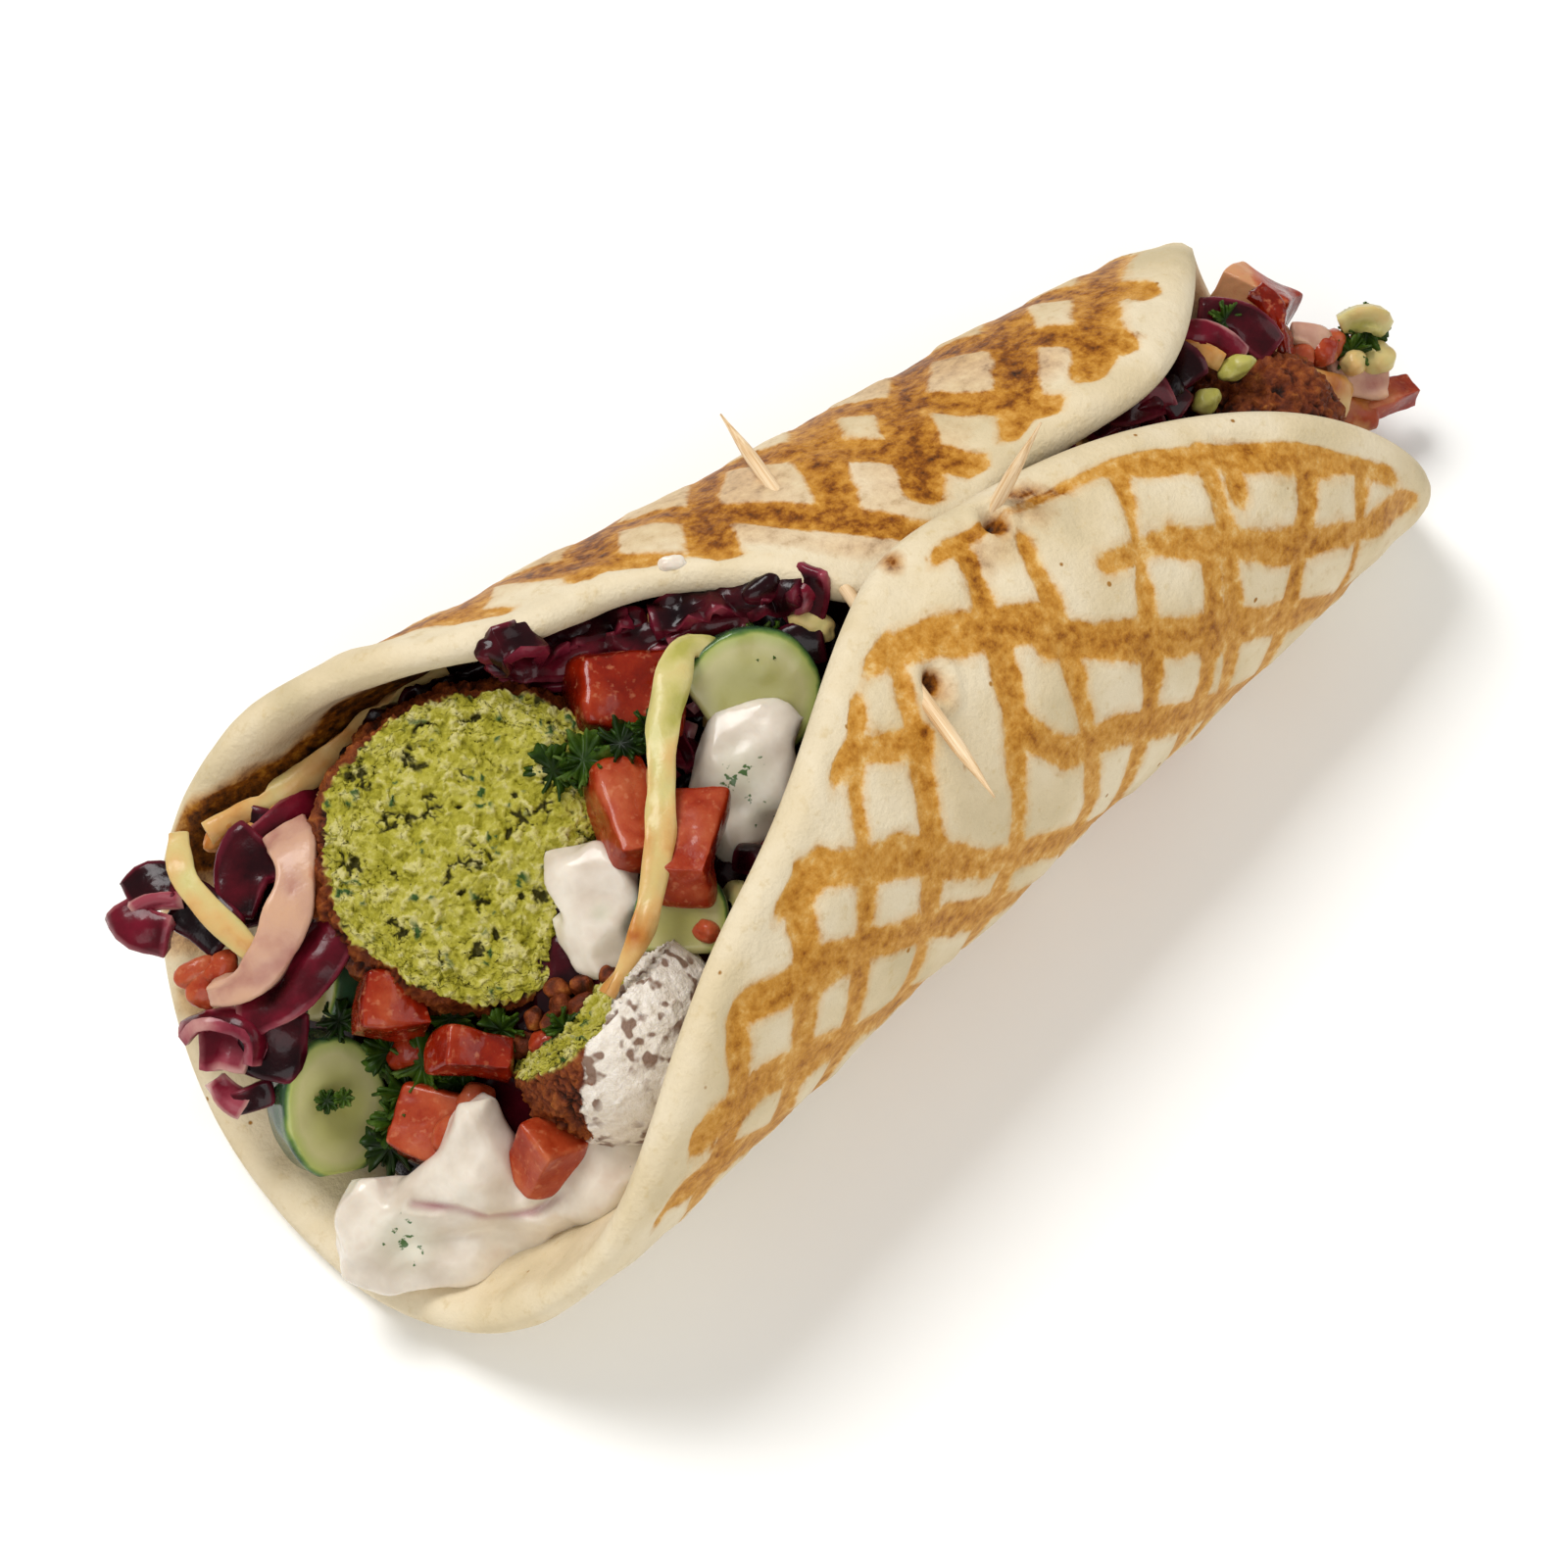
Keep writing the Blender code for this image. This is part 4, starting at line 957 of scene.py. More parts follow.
def makeSauce(name, material):
    bpy.ops.object.select_all(action="DESELECT")
    bpy.ops.object.metaball_add(type="ELLIPSOID", radius=0.01)
    blend = bpy.context.object
    blend.data.resolution = 0.7 * mm
    blend.data.render_resolution = 0.7 * mm
    blend.data.threshold = 0.05
    blend.data.elements.clear()
    centre = middleOf(name)
    for offset, halfSizes in sauces[name]:
        lump = blend.data.elements.new(type="ELLIPSOID")
        lump.co = centre + outlook @ np.array(offset) * mm
        lump.rotation = Matrix(outlook).to_quaternion()
        widest = max(halfSizes) * mm
        lump.radius = widest * 1.25
        lump.size_x, lump.size_y, lump.size_z = (half * mm / widest for half in halfSizes)
    pickOut(blend)
    bpy.ops.object.convert(target="MESH")
    piece = named(name + "_dollop")
    worked(piece, "REMESH", mode="VOXEL", voxel_size=0.5 * mm, use_smooth_shade=True)
    places = readPoints(piece)
    push = bumps(places, 6, 4.0) * 0.8 + bumps(places, 2.6, 6.0) * 0.28
    movePoints(piece, places + readNormals(piece) * push[:, None] * mm)
    worked(piece, "SMOOTH", iterations=26, factor=0.5)
    seen = (readPoints(piece) - centre) @ outlook / mm
    stain = np.zeros(len(seen))
    if name in sauceFolds:
        flatter = (1, 1, 0.3)  # depth counts for less
        line = [np.array(point) * flatter for point in sauceFolds[name]]
        fold = spaceDistance(seen * flatter, line)
        stain = near(fold, 1.1)
        movePoints(piece, readPoints(piece) - readNormals(piece) * (0.5 * near(fold, 1.6))[:, None] * mm)
    herby = np.zeros(len(seen))
    for right, up, half in herbPatches[name]:
        herby = np.maximum(herby, near(np.hypot(seen[:, 0] - right, seen[:, 1] - up), 1.6 * half))
    paint(piece, "stain", stain * (0.75 + 0.5 * bumps(readPoints(piece), 4, 9.0)))
    paint(piece, "herby", herby)
    settle(piece, [name], material)


picks = {  # both ends, from the wrap's own axis
    "toothpick_1": ((10.3, 37.5, 50.0), (-8.8, -40.0, 63.0)),
    "toothpick_2": ((32.1, -4.6, 72.0), (-9.2, -6.0, 9.3)),
}


def makePickMaterial():
    # Birch pick, turned and dry: pale straw wood with grain lines 0.25 mm apart
    material, tree, shader, _ = newMaterial("paleWood", Roughness=0.5, IOR=1.5)
    grain = node(tree, "Attribute", give="Vector", attribute_name="grain")
    lines = node(tree, "TexNoise", {"Vector": grain, "Scale": 1.0, "Detail": 4})
    tone = node(
        tree, "ValToRGB", {"Fac": lines}, stops=((0.3, "#C79A62"), (0.5, "#E2C296"), (0.7, "#EFD7B2"))
    )
    tree.links.new(tone, shader.inputs["Base Color"])
    return material


def makePick(name, material):
    start, end = (Vector(np.array(point) + axisShift) * mm for point in picks[name])
    long = (end - start).length
    bpy.ops.object.select_all(action="DESELECT")
    bpy.ops.mesh.primitive_cylinder_add(vertices=20, radius=1 * mm, depth=long, end_fill_type="TRIFAN")
    piece = named(name + "_wood")
    pickOut(piece)
    bpy.ops.object.mode_set(mode="EDIT")
    for cut in range(-19, 20):
        bpy.ops.mesh.select_all(action="SELECT")
        bpy.ops.mesh.bisect(plane_co=(0, 0, long * cut / 40), plane_no=(0, 0, 1))
    bpy.ops.object.mode_set(mode="OBJECT")
    places = readPoints(piece)
    fromEnd = long / 2 - np.abs(places[:, 2])
    places[:, :2] *= (0.16 + 0.84 * smooth(fromEnd / (11 * mm)) ** 0.8)[:, None]
    grain = np.stack([places[:, 2] / (9 * mm), places[:, 0] / (0.25 * mm), places[:, 1] / (0.25 * mm)], 1)
    layer = piece.data.attributes.new("grain", "FLOAT_VECTOR", "POINT")
    layer.data.foreach_set("vector", grain.astype(np.float32).ravel())
    turn = np.array(turnTo(end - start))
    movePoints(piece, places @ turn.T + np.array((start + end) / 2))
    settle(piece, [name], material)


core = {
    "from": -0.93,  # start and length along the wrap, as shares of its half length
    "long": 1.88,
    "inset": 1.6,  # from the bread's inner face
    "sink": 17,  # from the lower rim down to the middle of the bare filling in the mouths
    "wallRise": 2,
    "roof": 0.25,  # middle and half length of the part under the lapped flaps
    "roofHalf": 0.15,
    "hollow": (-78, -34),  # where sauce runs down the right wall of the wide mouth
    "hollowWide": 14,
    "hollowDeep": 10,
}


def coreTop(u, y):  # height of the bare filling: up to the roof where the flaps lap, lower in the mouths
    radius = sectionRadius(u)
    inset = bread["thick"] / 2 + core["inset"]
    wide = bread["wide"] * radius - inset
    middle = bread["thick"] / 2 + bread["high"] * radius - bread["flattened"]
    high = bread["high"] * radius * 0.9 - inset
    roof = middle + high * np.sqrt(np.maximum(1 - (y / wide) ** 2, 0))
    edges = [wrapPoint(u * bread["reach"], side * flapReach(u, side > 0))[..., 2] for side in (1, -1)]
    heap = np.minimum(*edges) - core["sink"] + core["wallRise"] * (y / wide) ** 2
    inMouth = smooth((np.abs(u - core["roof"]) - core["roofHalf"]) / 0.12)
    return np.minimum(roof, roof + (heap - roof) * inMouth)


def makeSaladCore(material):
    bpy.ops.object.select_all(action="DESELECT")
    bpy.ops.mesh.primitive_uv_sphere_add(
        segments=200, ring_count=260, radius=1, rotation=(0, math.pi / 2, 0)
    )
    piece = named("salad_core")
    pickOut(piece)
    bpy.ops.object.transform_apply(location=True, rotation=True, scale=True)
    unit = readPoints(piece)
    u = core["from"] + core["long"] * (1 - np.arccos(np.clip(unit[:, 0], -1, 1)) / math.pi)
    radius = sectionRadius(u)
    inset = bread["thick"] / 2 + core["inset"]
    full = bread["wide"] * radius - inset
    high = bread["high"] * radius - inset
    middle = bread["thick"] / 2 + bread["high"] * radius - bread["flattened"]
    top = coreTop(u, 0 * u)
    wide = full * np.sqrt(np.maximum(1 - (np.maximum(middle - top, 0) / high) ** 2, 0))
    angle = np.arctan2(unit[:, 2], unit[:, 1])
    y = wide * np.cos(angle)
    under = np.maximum(
        middle - high * np.sqrt(np.maximum(1 - (y / full) ** 2, 0)), bread["thick"] / 2 + inset
    )
    z = np.maximum(np.where(angle >= 0, coreTop(u, y), under), bread["thick"] / 2)
    ends = np.abs(np.abs(unit[:, 0]) - 1) < 1e-5
    y, z = np.where(ends, 0, y), np.where(ends, bread["thick"] / 2 + inset + 1, z)
    places = (np.stack([bread["reach"] * u, y, z], 1) + axisShift) * mm
    fromHollow = np.hypot(*(places[:, :2] / mm - core["hollow"]).T)
    sunk = places[:, 2] - core["hollowDeep"] * near(fromHollow, core["hollowWide"]) * mm
    places[:, 2] = np.maximum(sunk, np.minimum(places[:, 2], bread["thick"] / 2 * mm))
    # shreds of filling pressed together: ridges lying two ways, broken by hollows
    patch = smooth(0.5 + 2.5 * bumps(places, 9, 41.0))
    oneWay = 1 - np.abs(bumps(places @ outlook * (1.0, 0.30, 0.7), 3.0, 3.0)) * 3.4
    otherWay = 1 - np.abs(bumps(places @ outlook * (0.30, 1.0, 0.7), 3.0, 8.0)) * 3.4
    lift = 1.2 * (patch * oneWay + (1 - patch) * otherWay) + 2.2 * bumps(places, 11, 22.0) - 1.5
    movePoints(piece, places)
    normals = readNormals(piece)
    above = smooth((places[:, 2] / mm - (middle - 10)) / 8)
    movePoints(piece, places + normals * (lift * above)[:, None] * mm)
    # the dark tone is the cabbage's own and also stands in for the shade between the pieces of filling, as
    # painted shade
    paint(piece, "tone", 0.30 + 0.30 * bumps(places, 6, 70.0))
    settle(piece, ["salad"], material)


def curveThrough(line, count):  # a smooth curve through a few points, as evenly spaced points
    line = np.array(line, float)
    if len(line) == 2:
        return line[0] + (line[1] - line[0]) * np.linspace(0, 1, count)[:, None]
    padded = np.vstack([2 * line[0] - line[1], line, 2 * line[-1] - line[-2]])
    found = []
    for part in range(len(line) - 1):
        a, b, c, d = padded[part : part + 4]
        for t in np.linspace(0, 1, 12, endpoint=False):
            curve = 2 * b + (c - a) * t + (2 * a - 5 * b + 4 * c - d) * t**2
            found.append(0.5 * (curve + (3 * b - a - 3 * c + d) * t**3))
    found = np.array(found + [line[-1]])
    length = np.concatenate([[0], np.cumsum(np.linalg.norm(np.diff(found, axis=0), axis=1))])
    even = np.linspace(0, length[-1], count)
    return np.stack([np.interp(even, length, found[:, axis]) for axis in range(3)], 1)


strip = {  # what a strip is like where its own row says nothing else
    "steps": 80,
    "across": 7,
    "thick": 1.5,
    "roll": (0, 0),  # lean at its two ends, in degrees
    "curl": 0,  # degrees across it
    "ruffle": 0.5,
    "crinkle": 7.0,  # length of a ruffle
    "taper": 0.15,
    "narrow": 1.0,  # width at its far end, as a share
    "tone": 0.5,
    "stained": 0.0,  # added to the tone toward its far end
    "seed": 0,
}


def makeStrip(row):  # a cut strip of leaf: it follows a line, leans, curls across itself and ruffles
    row = {**strip, **row}
    steps, across, seed = row["steps"], row["across"], row["seed"]
    middle = curveThrough(row["line"], steps)
    long = np.sum(np.linalg.norm(np.diff(middle, axis=0), axis=1))
    count = int(min(max(long / 1.1, 8), 60))
    bpy.ops.object.select_all(action="DESELECT")
    bpy.ops.mesh.primitive_grid_add(x_subdivisions=count, y_subdivisions=across, size=1)
    piece = bpy.context.object
    grid = readPoints(piece)
    share, side = grid[:, 0] + 0.5, grid[:, 1] * 2
    tangent = np.gradient(middle, axis=0)
    tangent /= np.linalg.norm(tangent, axis=1)[:, None]
    flat = np.cross(tangent, outlook[:, 2])
    flat /= np.linalg.norm(flat, axis=1)[:, None] + 1e-9
    stand = np.cross(flat, tangent)
    at = share * (steps - 1)

    def along(values):
        return np.stack([np.interp(at, np.arange(steps), values[:, axis]) for axis in range(3)], 1)

    middle, flat, stand = along(middle), along(flat), along(stand)
    angle = np.radians(row["roll"][0] + (row["roll"][1] - row["roll"][0]) * share)[:, None]
    aside = flat * np.cos(angle) + stand * np.sin(angle)
    upward = stand * np.cos(angle) - flat * np.sin(angle)
    waves = share * long / row["crinkle"]
    uneven = 1 + 0.24 * np.array([noise.noise(Vector((w, seed, 0.5))) for w in waves])
    ends = 1 - row["taper"] * smooth(1 - share / 0.2) - row["taper"] * smooth(1 - (1 - share) / 0.2)
    half = row["width"] / 2 * uneven * ends * (1 + (row["narrow"] - 1) * share)
    bend = math.radians(max(abs(row["curl"]), 0.1)) / 2
    out = half * np.sin(side * bend) / bend
    rise = half * (np.cos(side * bend) - math.cos(bend)) / bend * (1 if row["curl"] >= 0 else -1)
    wave = np.array([noise.noise(Vector((w * 1.3, q * 0.9, seed + 7.3))) for w, q in zip(waves, side)])
    fine = np.array([noise.noise(Vector((w * 3.1, q * 2.2, seed + 2.1))) for w, q in zip(waves, side)])
    rise = rise + row["ruffle"] * (wave * 1.9 + fine * 0.7) * (0.5 + np.abs(side))
    movePoints(piece, (middle + aside * out[:, None] + upward * rise[:, None]) * mm)
    sideEdge, endEdge = smooth((np.abs(side) - 0.76) / 0.24), smooth((np.abs(share - 0.5) - 0.46) / 0.04)
    paint(piece, "edge", np.maximum(sideEdge, endEdge))
    paint(piece, "tone", row["tone"] + row["stained"] * smooth(share) + 0.30 * wave)
    worked(piece, "SOLIDIFY", thickness=row["thick"] * mm, offset=0)
    worked(piece, "BEVEL", width=0.3 * mm, segments=1, limit_method="ANGLE", angle_limit=0.9)
    return piece


def makeCabbageMaterial():
    # Red cabbage, shredded and dressed: waxy, nearly black purple skin, magenta to pinkish white where cut
    material, tree, shader, place = newMaterial(
        "redCabbage",
        Roughness=0.22,
        IOR=1.45,
        Specular_IOR_Level=0.16,
        Coat_Weight=0.14,
        Coat_Roughness=0.05,
    )
    edge = node(tree, "Attribute", give="Fac", attribute_name="edge")
    tone = node(tree, "Attribute", give="Fac", attribute_name="tone")
    mottle = node(tree, "TexNoise", {"Vector": place, "Scale": every(4.35), "Detail": 4, "Roughness": 0.6})
    centred = node(tree, "Math", {0: mottle, 1: 0.5}, operation="SUBTRACT")
    stirred = node(tree, "Math", {0: centred, 1: 0.5, 2: tone}, operation="MULTIPLY_ADD")
    skin = node(
        tree,
        "ValToRGB",
        {"Fac": stirred},
        stops=(
            (0.15, "#100004"), (0.36, "#240309"), (0.55, "#480814"), (0.74, "#6B1023"), (0.95, "#96424E")
        ),
    )
    cut = node(
        tree,
        "ValToRGB",
        {"Fac": stirred},
        stops=((0.2, "#3A0814"), (0.45, "#6E1A2C"), (0.65, "#93404C"), (0.9, "#C09088")),
    )
    colour = node(tree, "Mix", {0: edge, 6: skin, 7: cut}, give=2, data_type="RGBA")
    tree.links.new(colour, shader.inputs["Base Color"])
    bump = node(tree, "Bump", {"Height": mottle, "Strength": 0.25, "Distance": 0.0008})
    tree.links.new(bump, shader.inputs["Normal"])
    return material


paleStops = ((0.08, "#B2AC56"), (0.30, "#CDC080"), (0.55, "#D2AC6E"), (0.78, "#C0803C"), (0.95, "#9C3E18"))
ribStops = ((0.15, "#7A3440"), (0.40, "#AC7668"), (0.60, "#C79C84"), (0.78, "#CFA486"), (0.90, "#BC6430"))


def makeLeafFleshMaterial(name, stops):
    # White cabbage, onion or a cabbage rib, cut: see-through wet flesh, stained orange by the sauce
    material, tree, shader, place = newMaterial(
        name,
        Roughness=0.28,
        IOR=1.42,
        Specular_IOR_Level=0.35,
        Subsurface_Weight=0.2,
        Subsurface_Radius=(0.9, 0.8, 0.4),
        Subsurface_Scale=0.0015,
    )
    tone = node(tree, "Attribute", give="Fac", attribute_name="tone")
    mottle = node(tree, "TexNoise", {"Vector": place, "Scale": every(3.85), "Detail": 4})
    centred = node(tree, "Math", {0: mottle, 1: 0.5}, operation="SUBTRACT")
    stirred = node(tree, "Math", {0: centred, 1: 0.5, 2: tone}, operation="MULTIPLY_ADD")
    colour = node(tree, "ValToRGB", {"Fac": stirred}, stops=stops)
    tree.links.new(colour, shader.inputs["Base Color"])
    bump = node(tree, "Bump", {"Height": mottle, "Strength": 0.5, "Distance": 0.0007})
    tree.links.new(bump, shader.inputs["Normal"])
    return material


redStrips = (
    # pressed against the rim of the left flap, under the crinkled lobes
    {
        "line": ((-45, 30, 43.5), (-36, 24, 45), (-28, 18, 46.5), (-18, 11, 48), (-9, 5, 49.5)),
        "width": 9, "ruffle": 0.9, "crinkle": 5, "tone": 0.22,
    },
    {"line": ((-44, 26, 43), (-34, 19, 45), (-25, 13, 46.5)), "width": 5, "roll": (20, 30), "tone": 0.42},
    {
        "line": ((-10.5, 3.4, 50), (-8.2, 3.6, 54), (-6.2, 5.0, 58.5)),
        "width": 8.0, "narrow": 0.7, "curl": 70, "roll": (10, 30), "tone": 0.5,
    },
    {"line": ((-19, 4, 47.5), (-14, 1.5, 50), (-10, -1.5, 51)), "width": 6.5, "curl": 60, "tone": 0.25},
    # the folded chunk at the left of the wide mouth
    {
        "line": ((-103.2, 38.4, 31.6), (-103.8, 34.6, 31.6), (-101.6, 30.6, 31.6)),
        "width": 6.0, "thick": 2.4, "curl": 90, "taper": 0.0, "tone": 0.62,
    },
    {
        "line": ((-102.6, 38.4, 33.0), (-99.4, 37.6, 34.8), (-96.6, 34.8, 35.2)),
        "width": 5.6, "roll": (20, 25), "curl": 40, "taper": 0.0, "thick": 2.0, "tone": 0.34,
    },
    {
        "line": ((-103.4, 36.6, 33.2), (-100.6, 35.2, 34.4), (-97.6, 32.8, 34.6)),
        "width": 2.0, "curl": 90, "tone": 0.88,
    },
    {"line": ((-97.8, 34, 33.2), (-96.4, 29.6, 32.2), (-95.6, 25.2, 31)), "width": 8, "tone": 0.18},
    {
        "line": ((-83.5, 32, 35.4), (-88.6, 31, 34.2), (-93, 26.5, 32)),
        "width": 10, "narrow": 0.5, "tone": 0.36,
    },
    # skin of the thick rib
    {
        "line": (
            (-81.8, 20.4, 33), (-84.6, 15.8, 33), (-90.4, 13.3, 31.6),
            (-96, 13.2, 29.6), (-100.6, 16.6, 27.4),
        ),
        "width": 7, "roll": (-20, -25), "curl": 70, "thick": 2.0, "tone": 0.56,
    },
    # the ring that curls over the bread's edge
    {
        "line": (
            (-108, 20.8, 25), (-105.3, 19.4, 27.2), (-101.8, 15.8, 28.6),
            (-101.2, 12.2, 27.8), (-103.5, 10.4, 25.4),
        ),
        "width": 3.4, "roll": (55, 60), "thick": 1.8, "tone": 0.62,
    },
    {
        "line": ((-107.4, 18.8, 24.2), (-104.4, 15.6, 25.4), (-102.4, 12.4, 24.8)),
        "width": 8.5, "curl": -60, "tone": 0.86,
    },
    {
        "line": ((-95.8, 14, 27.4), (-99.4, 11.6, 25), (-102.8, 9.2, 21.5)),
        "width": 9, "curl": 40, "tone": 0.3,
    },
    {
        "line": ((-108, 14.4, 20.6), (-108, 11.8, 19.4), (-107, 9.4, 18.2)),
        "width": 3.8, "curl": 60, "tone": 0.85,
    },
    {"line": ((-105, 10.8, 20.2), (-105.8, 8.2, 17.6)), "width": 5.5, "curl": 40, "tone": 0.4},
    {"line": ((-80, 37, 34), (-86, 33, 30), (-90, 26, 27)), "width": 7, "curl": 60, "tone": 0.25},
    {"line": ((-70, 35, 31), (-79, 34, 33.4), (-87, 33.4, 33.6)), "width": 5, "curl": 60, "tone": 0.55},
    # in the narrow mouth
    {
        "line": ((70.2, 10.2, 37.6), (72.6, 7.4, 40.4), (74.6, 4.8, 39.8), (76.6, 1.6, 37)),
        "width": 4.6, "curl": 80, "tone": 0.72,
    },
    {"line": ((65.6, 10, 37.6), (66.4, 5.8, 39.4), (66.3, 2, 38.4)), "width": 8, "curl": 40, "tone": 0.22},
    {"line": ((54.6, 7, 38.4), (57, 4.2, 40), (62.6, 3, 39.4)), "width": 6.5, "curl": 60, "tone": 0.58},
    {"line": ((59.6, 1.2, 39), (65, 2.4, 38.4)), "width": 5.5, "curl": 60, "tone": 0.42},
    {"line": ((78, 12, 36), (82, 7, 36), (84, 1, 33)), "width": 6, "curl": 50, "tone": 0.5},
)
frills = (  # crinkled leaves that stand along the left rim of the wide mouth
    {
        "line": (
            (-45.2, 28.8, 46), (-41.2, 27.5, 47), (-36.6, 24.5, 48.3),
            (-32, 22.1, 49.2), (-27.6, 19.7, 49.8),
        ),
        "width": 6.4, "roll": (25, 25), "curl": 80, "ruffle": 1.5,
        "crinkle": 3.6, "thick": 1.6, "tone": 0.36,
    },
    {
        "line": (
            (-45.5, 27.2, 46), (-38.5, 22.8, 47), (-32, 18.4, 48),
            (-25, 14.8, 49.5), (-18, 12.0, 50.5),
        ),
        "width": 5.0, "roll": (-10, 0), "curl": 60, "ruffle": 1.1,
        "crinkle": 4.2, "thick": 1.5, "tone": 0.52,
    },
    {
        "line": ((-26, 16.8, 50.6), (-21, 14.2, 51.6), (-16, 11.6, 52.6), (-11.5, 9.2, 53.6)),
        "width": 6.6, "roll": (20, 30), "curl": 90, "ruffle": 1.5,
        "crinkle": 3.8, "thick": 1.6, "tone": 0.34,
    },
    {
        "line": ((-26, 12.6, 49), (-20.6, 10.8, 50.5), (-15.4, 9.0, 51)),
        "width": 5.0, "curl": 60, "ruffle": 0.9, "crinkle": 4.4, "tone": 0.62,
    },
    {
        "line": ((-14.5, 9.4, 52.6), (-11.6, 7.4, 53.4), (-8.2, 5.4, 54)),
        "width": 6.0, "roll": (20, 20), "curl": 80, "ruffle": 1.3, "crinkle": 3.6, "tone": 0.3,
    },
)
ribStrips = (  # red cabbage and red onion seen on their cut side
    {
        "line": (
            (-80.6, 31.2, 36), (-82.4, 26.6, 37.8), (-85.2, 22.8, 37.4), (-89.4, 19.9, 36),
            (-94.3, 17.6, 34), (-98.6, 18, 31.6), (-102, 21, 29),
        ),
        "width": 7.6, "narrow": 0.55, "thick": 3.4, "curl": 12,
        "ruffle": 0.25, "crinkle": 7.0, "tone": 0.62,
    },
    {"line": ((91.6, 3.8, 28), (93.8, 2.2, 27.2), (96, 0, 25)), "width": 3.4, "curl": 40, "tone": 0.6},
    {
        "line": ((96, -1.6, 18.4), (100.4, -4.4, 16.8), (104.4, -7, 15)),
        "width": 6.5, "curl": 50, "tone": 0.6,
    },
)
paleStrips = (
    {
        "line": (
            (-20.5, 4.5, 48.5), (-23.5, 8.5, 51.5), (-26.8, 9.2, 53), (-31.4, 5.8, 53.6),
            (-38.5, -0.4, 53), (-47.8, -10.9, 51), (-57.1, -18.3, 48.6), (-66, -21.5, 45.6),
        ),
        "width": 5.0, "curl": 60, "ruffle": 0.35, "tone": 0.16,
        "stained": 0.52, "narrow": 0.6, "taper": 0.5, "thick": 1.2,
    },
    {
        "line": (
            (-92.4, 40.4, 36.6), (-95.7, 35, 37.2), (-96.1, 29.8, 36.2),
            (-95.6, 24.5, 34.8), (-94.8, 19, 33),
        ),
        "width": 3.2, "curl": 40, "ruffle": 0.25, "tone": 0.44, "thick": 1.2,
    },
    # a folded shred against the left wall
    {
        "line": (
            (-48, 36.6, 36.4), (-56.6, 37.6, 36.4), (-65.2, 37.8, 35.6),
            (-72.8, 37.2, 34.6), (-81, 38, 33.6), (-89, 39, 34),
        ),
        "width": 4.2, "roll": (40, 20), "curl": 110, "tone": 0.42, "stained": 0.16, "thick": 1.6,
    },
    {
        "line": ((-62, 35.6, 32.6), (-72, 34.6, 32), (-80, 35.4, 32.6), (-87, 36.6, 33)),
        "width": 3.4, "curl": 90, "tone": 0.66,
    },
    # in the narrow mouth
    {"line": ((69, 7.6, 38.6), (71.8, 5, 39.2), (73.2, 2.2, 38.2)), "width": 3.2, "curl": 40, "tone": 0.72},
    {
        "line": ((83.6, 5.6, 31.6), (85.4, 1.2, 29.4), (87, -2.6, 26)),
        "width": 3.6, "curl": 40, "tone": 0.58,
    },
    {
        "line": ((101.4, 1.6, 23.4), (104.4, -0.3, 24.8), (107.6, -2.6, 22.6)),
        "width": 3.6, "curl": 90, "ruffle": 1.3, "tone": 0.26,
    },
    {"line": ((86, -1.0, 25), (90.7, -3.9, 20.6), (95.4, -6.4, 16)), "width": 8, "curl": 50, "tone": 0.66},
    {"line": ((94.6, -5.8, 14.6), (97.6, -7, 13), (101, -8.4, 11)), "width": 5, "curl": 50, "tone": 0.84},
)
redBands = (
    {
        "line": ((88.7, 10.2, 35.2), (88.9, 6.3, 33.6), (86.4, 0.6, 30)),
        "width": 2.8, "thick": 2.6, "tone": 0.3,
    },
)


def liftedOver(middle, surface, proud):  # brings a place out until it stands on the surface it would be under
    start = Vector(middle) * mm + facing * 0.2
    hit = surface.ray_cast(start, -facing)[0]
    if hit is None:
        return middle
    rise = max((hit - Vector(middle) * mm).dot(facing) / mm + proud, 0)
    return np.array(middle) + rise * np.array(facing)


def makeStrips(name, rows, material, surface=None):
    if surface:
        rows = [{**row, "line": [liftedOver(point, surface, 0.8) for point in row["line"]]} for row in rows]
    pieces = [makeStrip({"seed": index * 3.1, **row}) for index, row in enumerate(rows)]
    settle(joined(pieces, name), ["salad"], material)


# Small pieces: middle, half sizes to the right, up and out, degrees from right to up, and the tone
lobes = (  # folded corners of red cabbage, dark above with a paler cut edge below
    ((-43.6, 28.4, 47.0), (2.8, 2.0, 1.6), 10, 0.34),
    ((-34.4, 23.4, 48.6), (3.2, 2.6, 1.8), 25, 0.30),
    ((-27.3, 19.3, 49.6), (2.6, 1.8, 1.6), 0, 0.50),
    ((-21.4, 14.6, 50.8), (3.6, 1.8, 1.6), 26, 0.44),
    ((-11.8, 9.4, 53.0), (3.4, 2.2, 1.8), 34, 0.26),
    ((-8.4, 4.6, 53.6), (2.8, 2.2, 1.6), 60, 0.66),
    ((58.7, 3.2, 39.4), (3.4, 2.2, 2.0), 10, 0.5),
    ((62.6, 3.3, 39.0), (2.8, 2.4, 2.0), 70, 0.2),
)
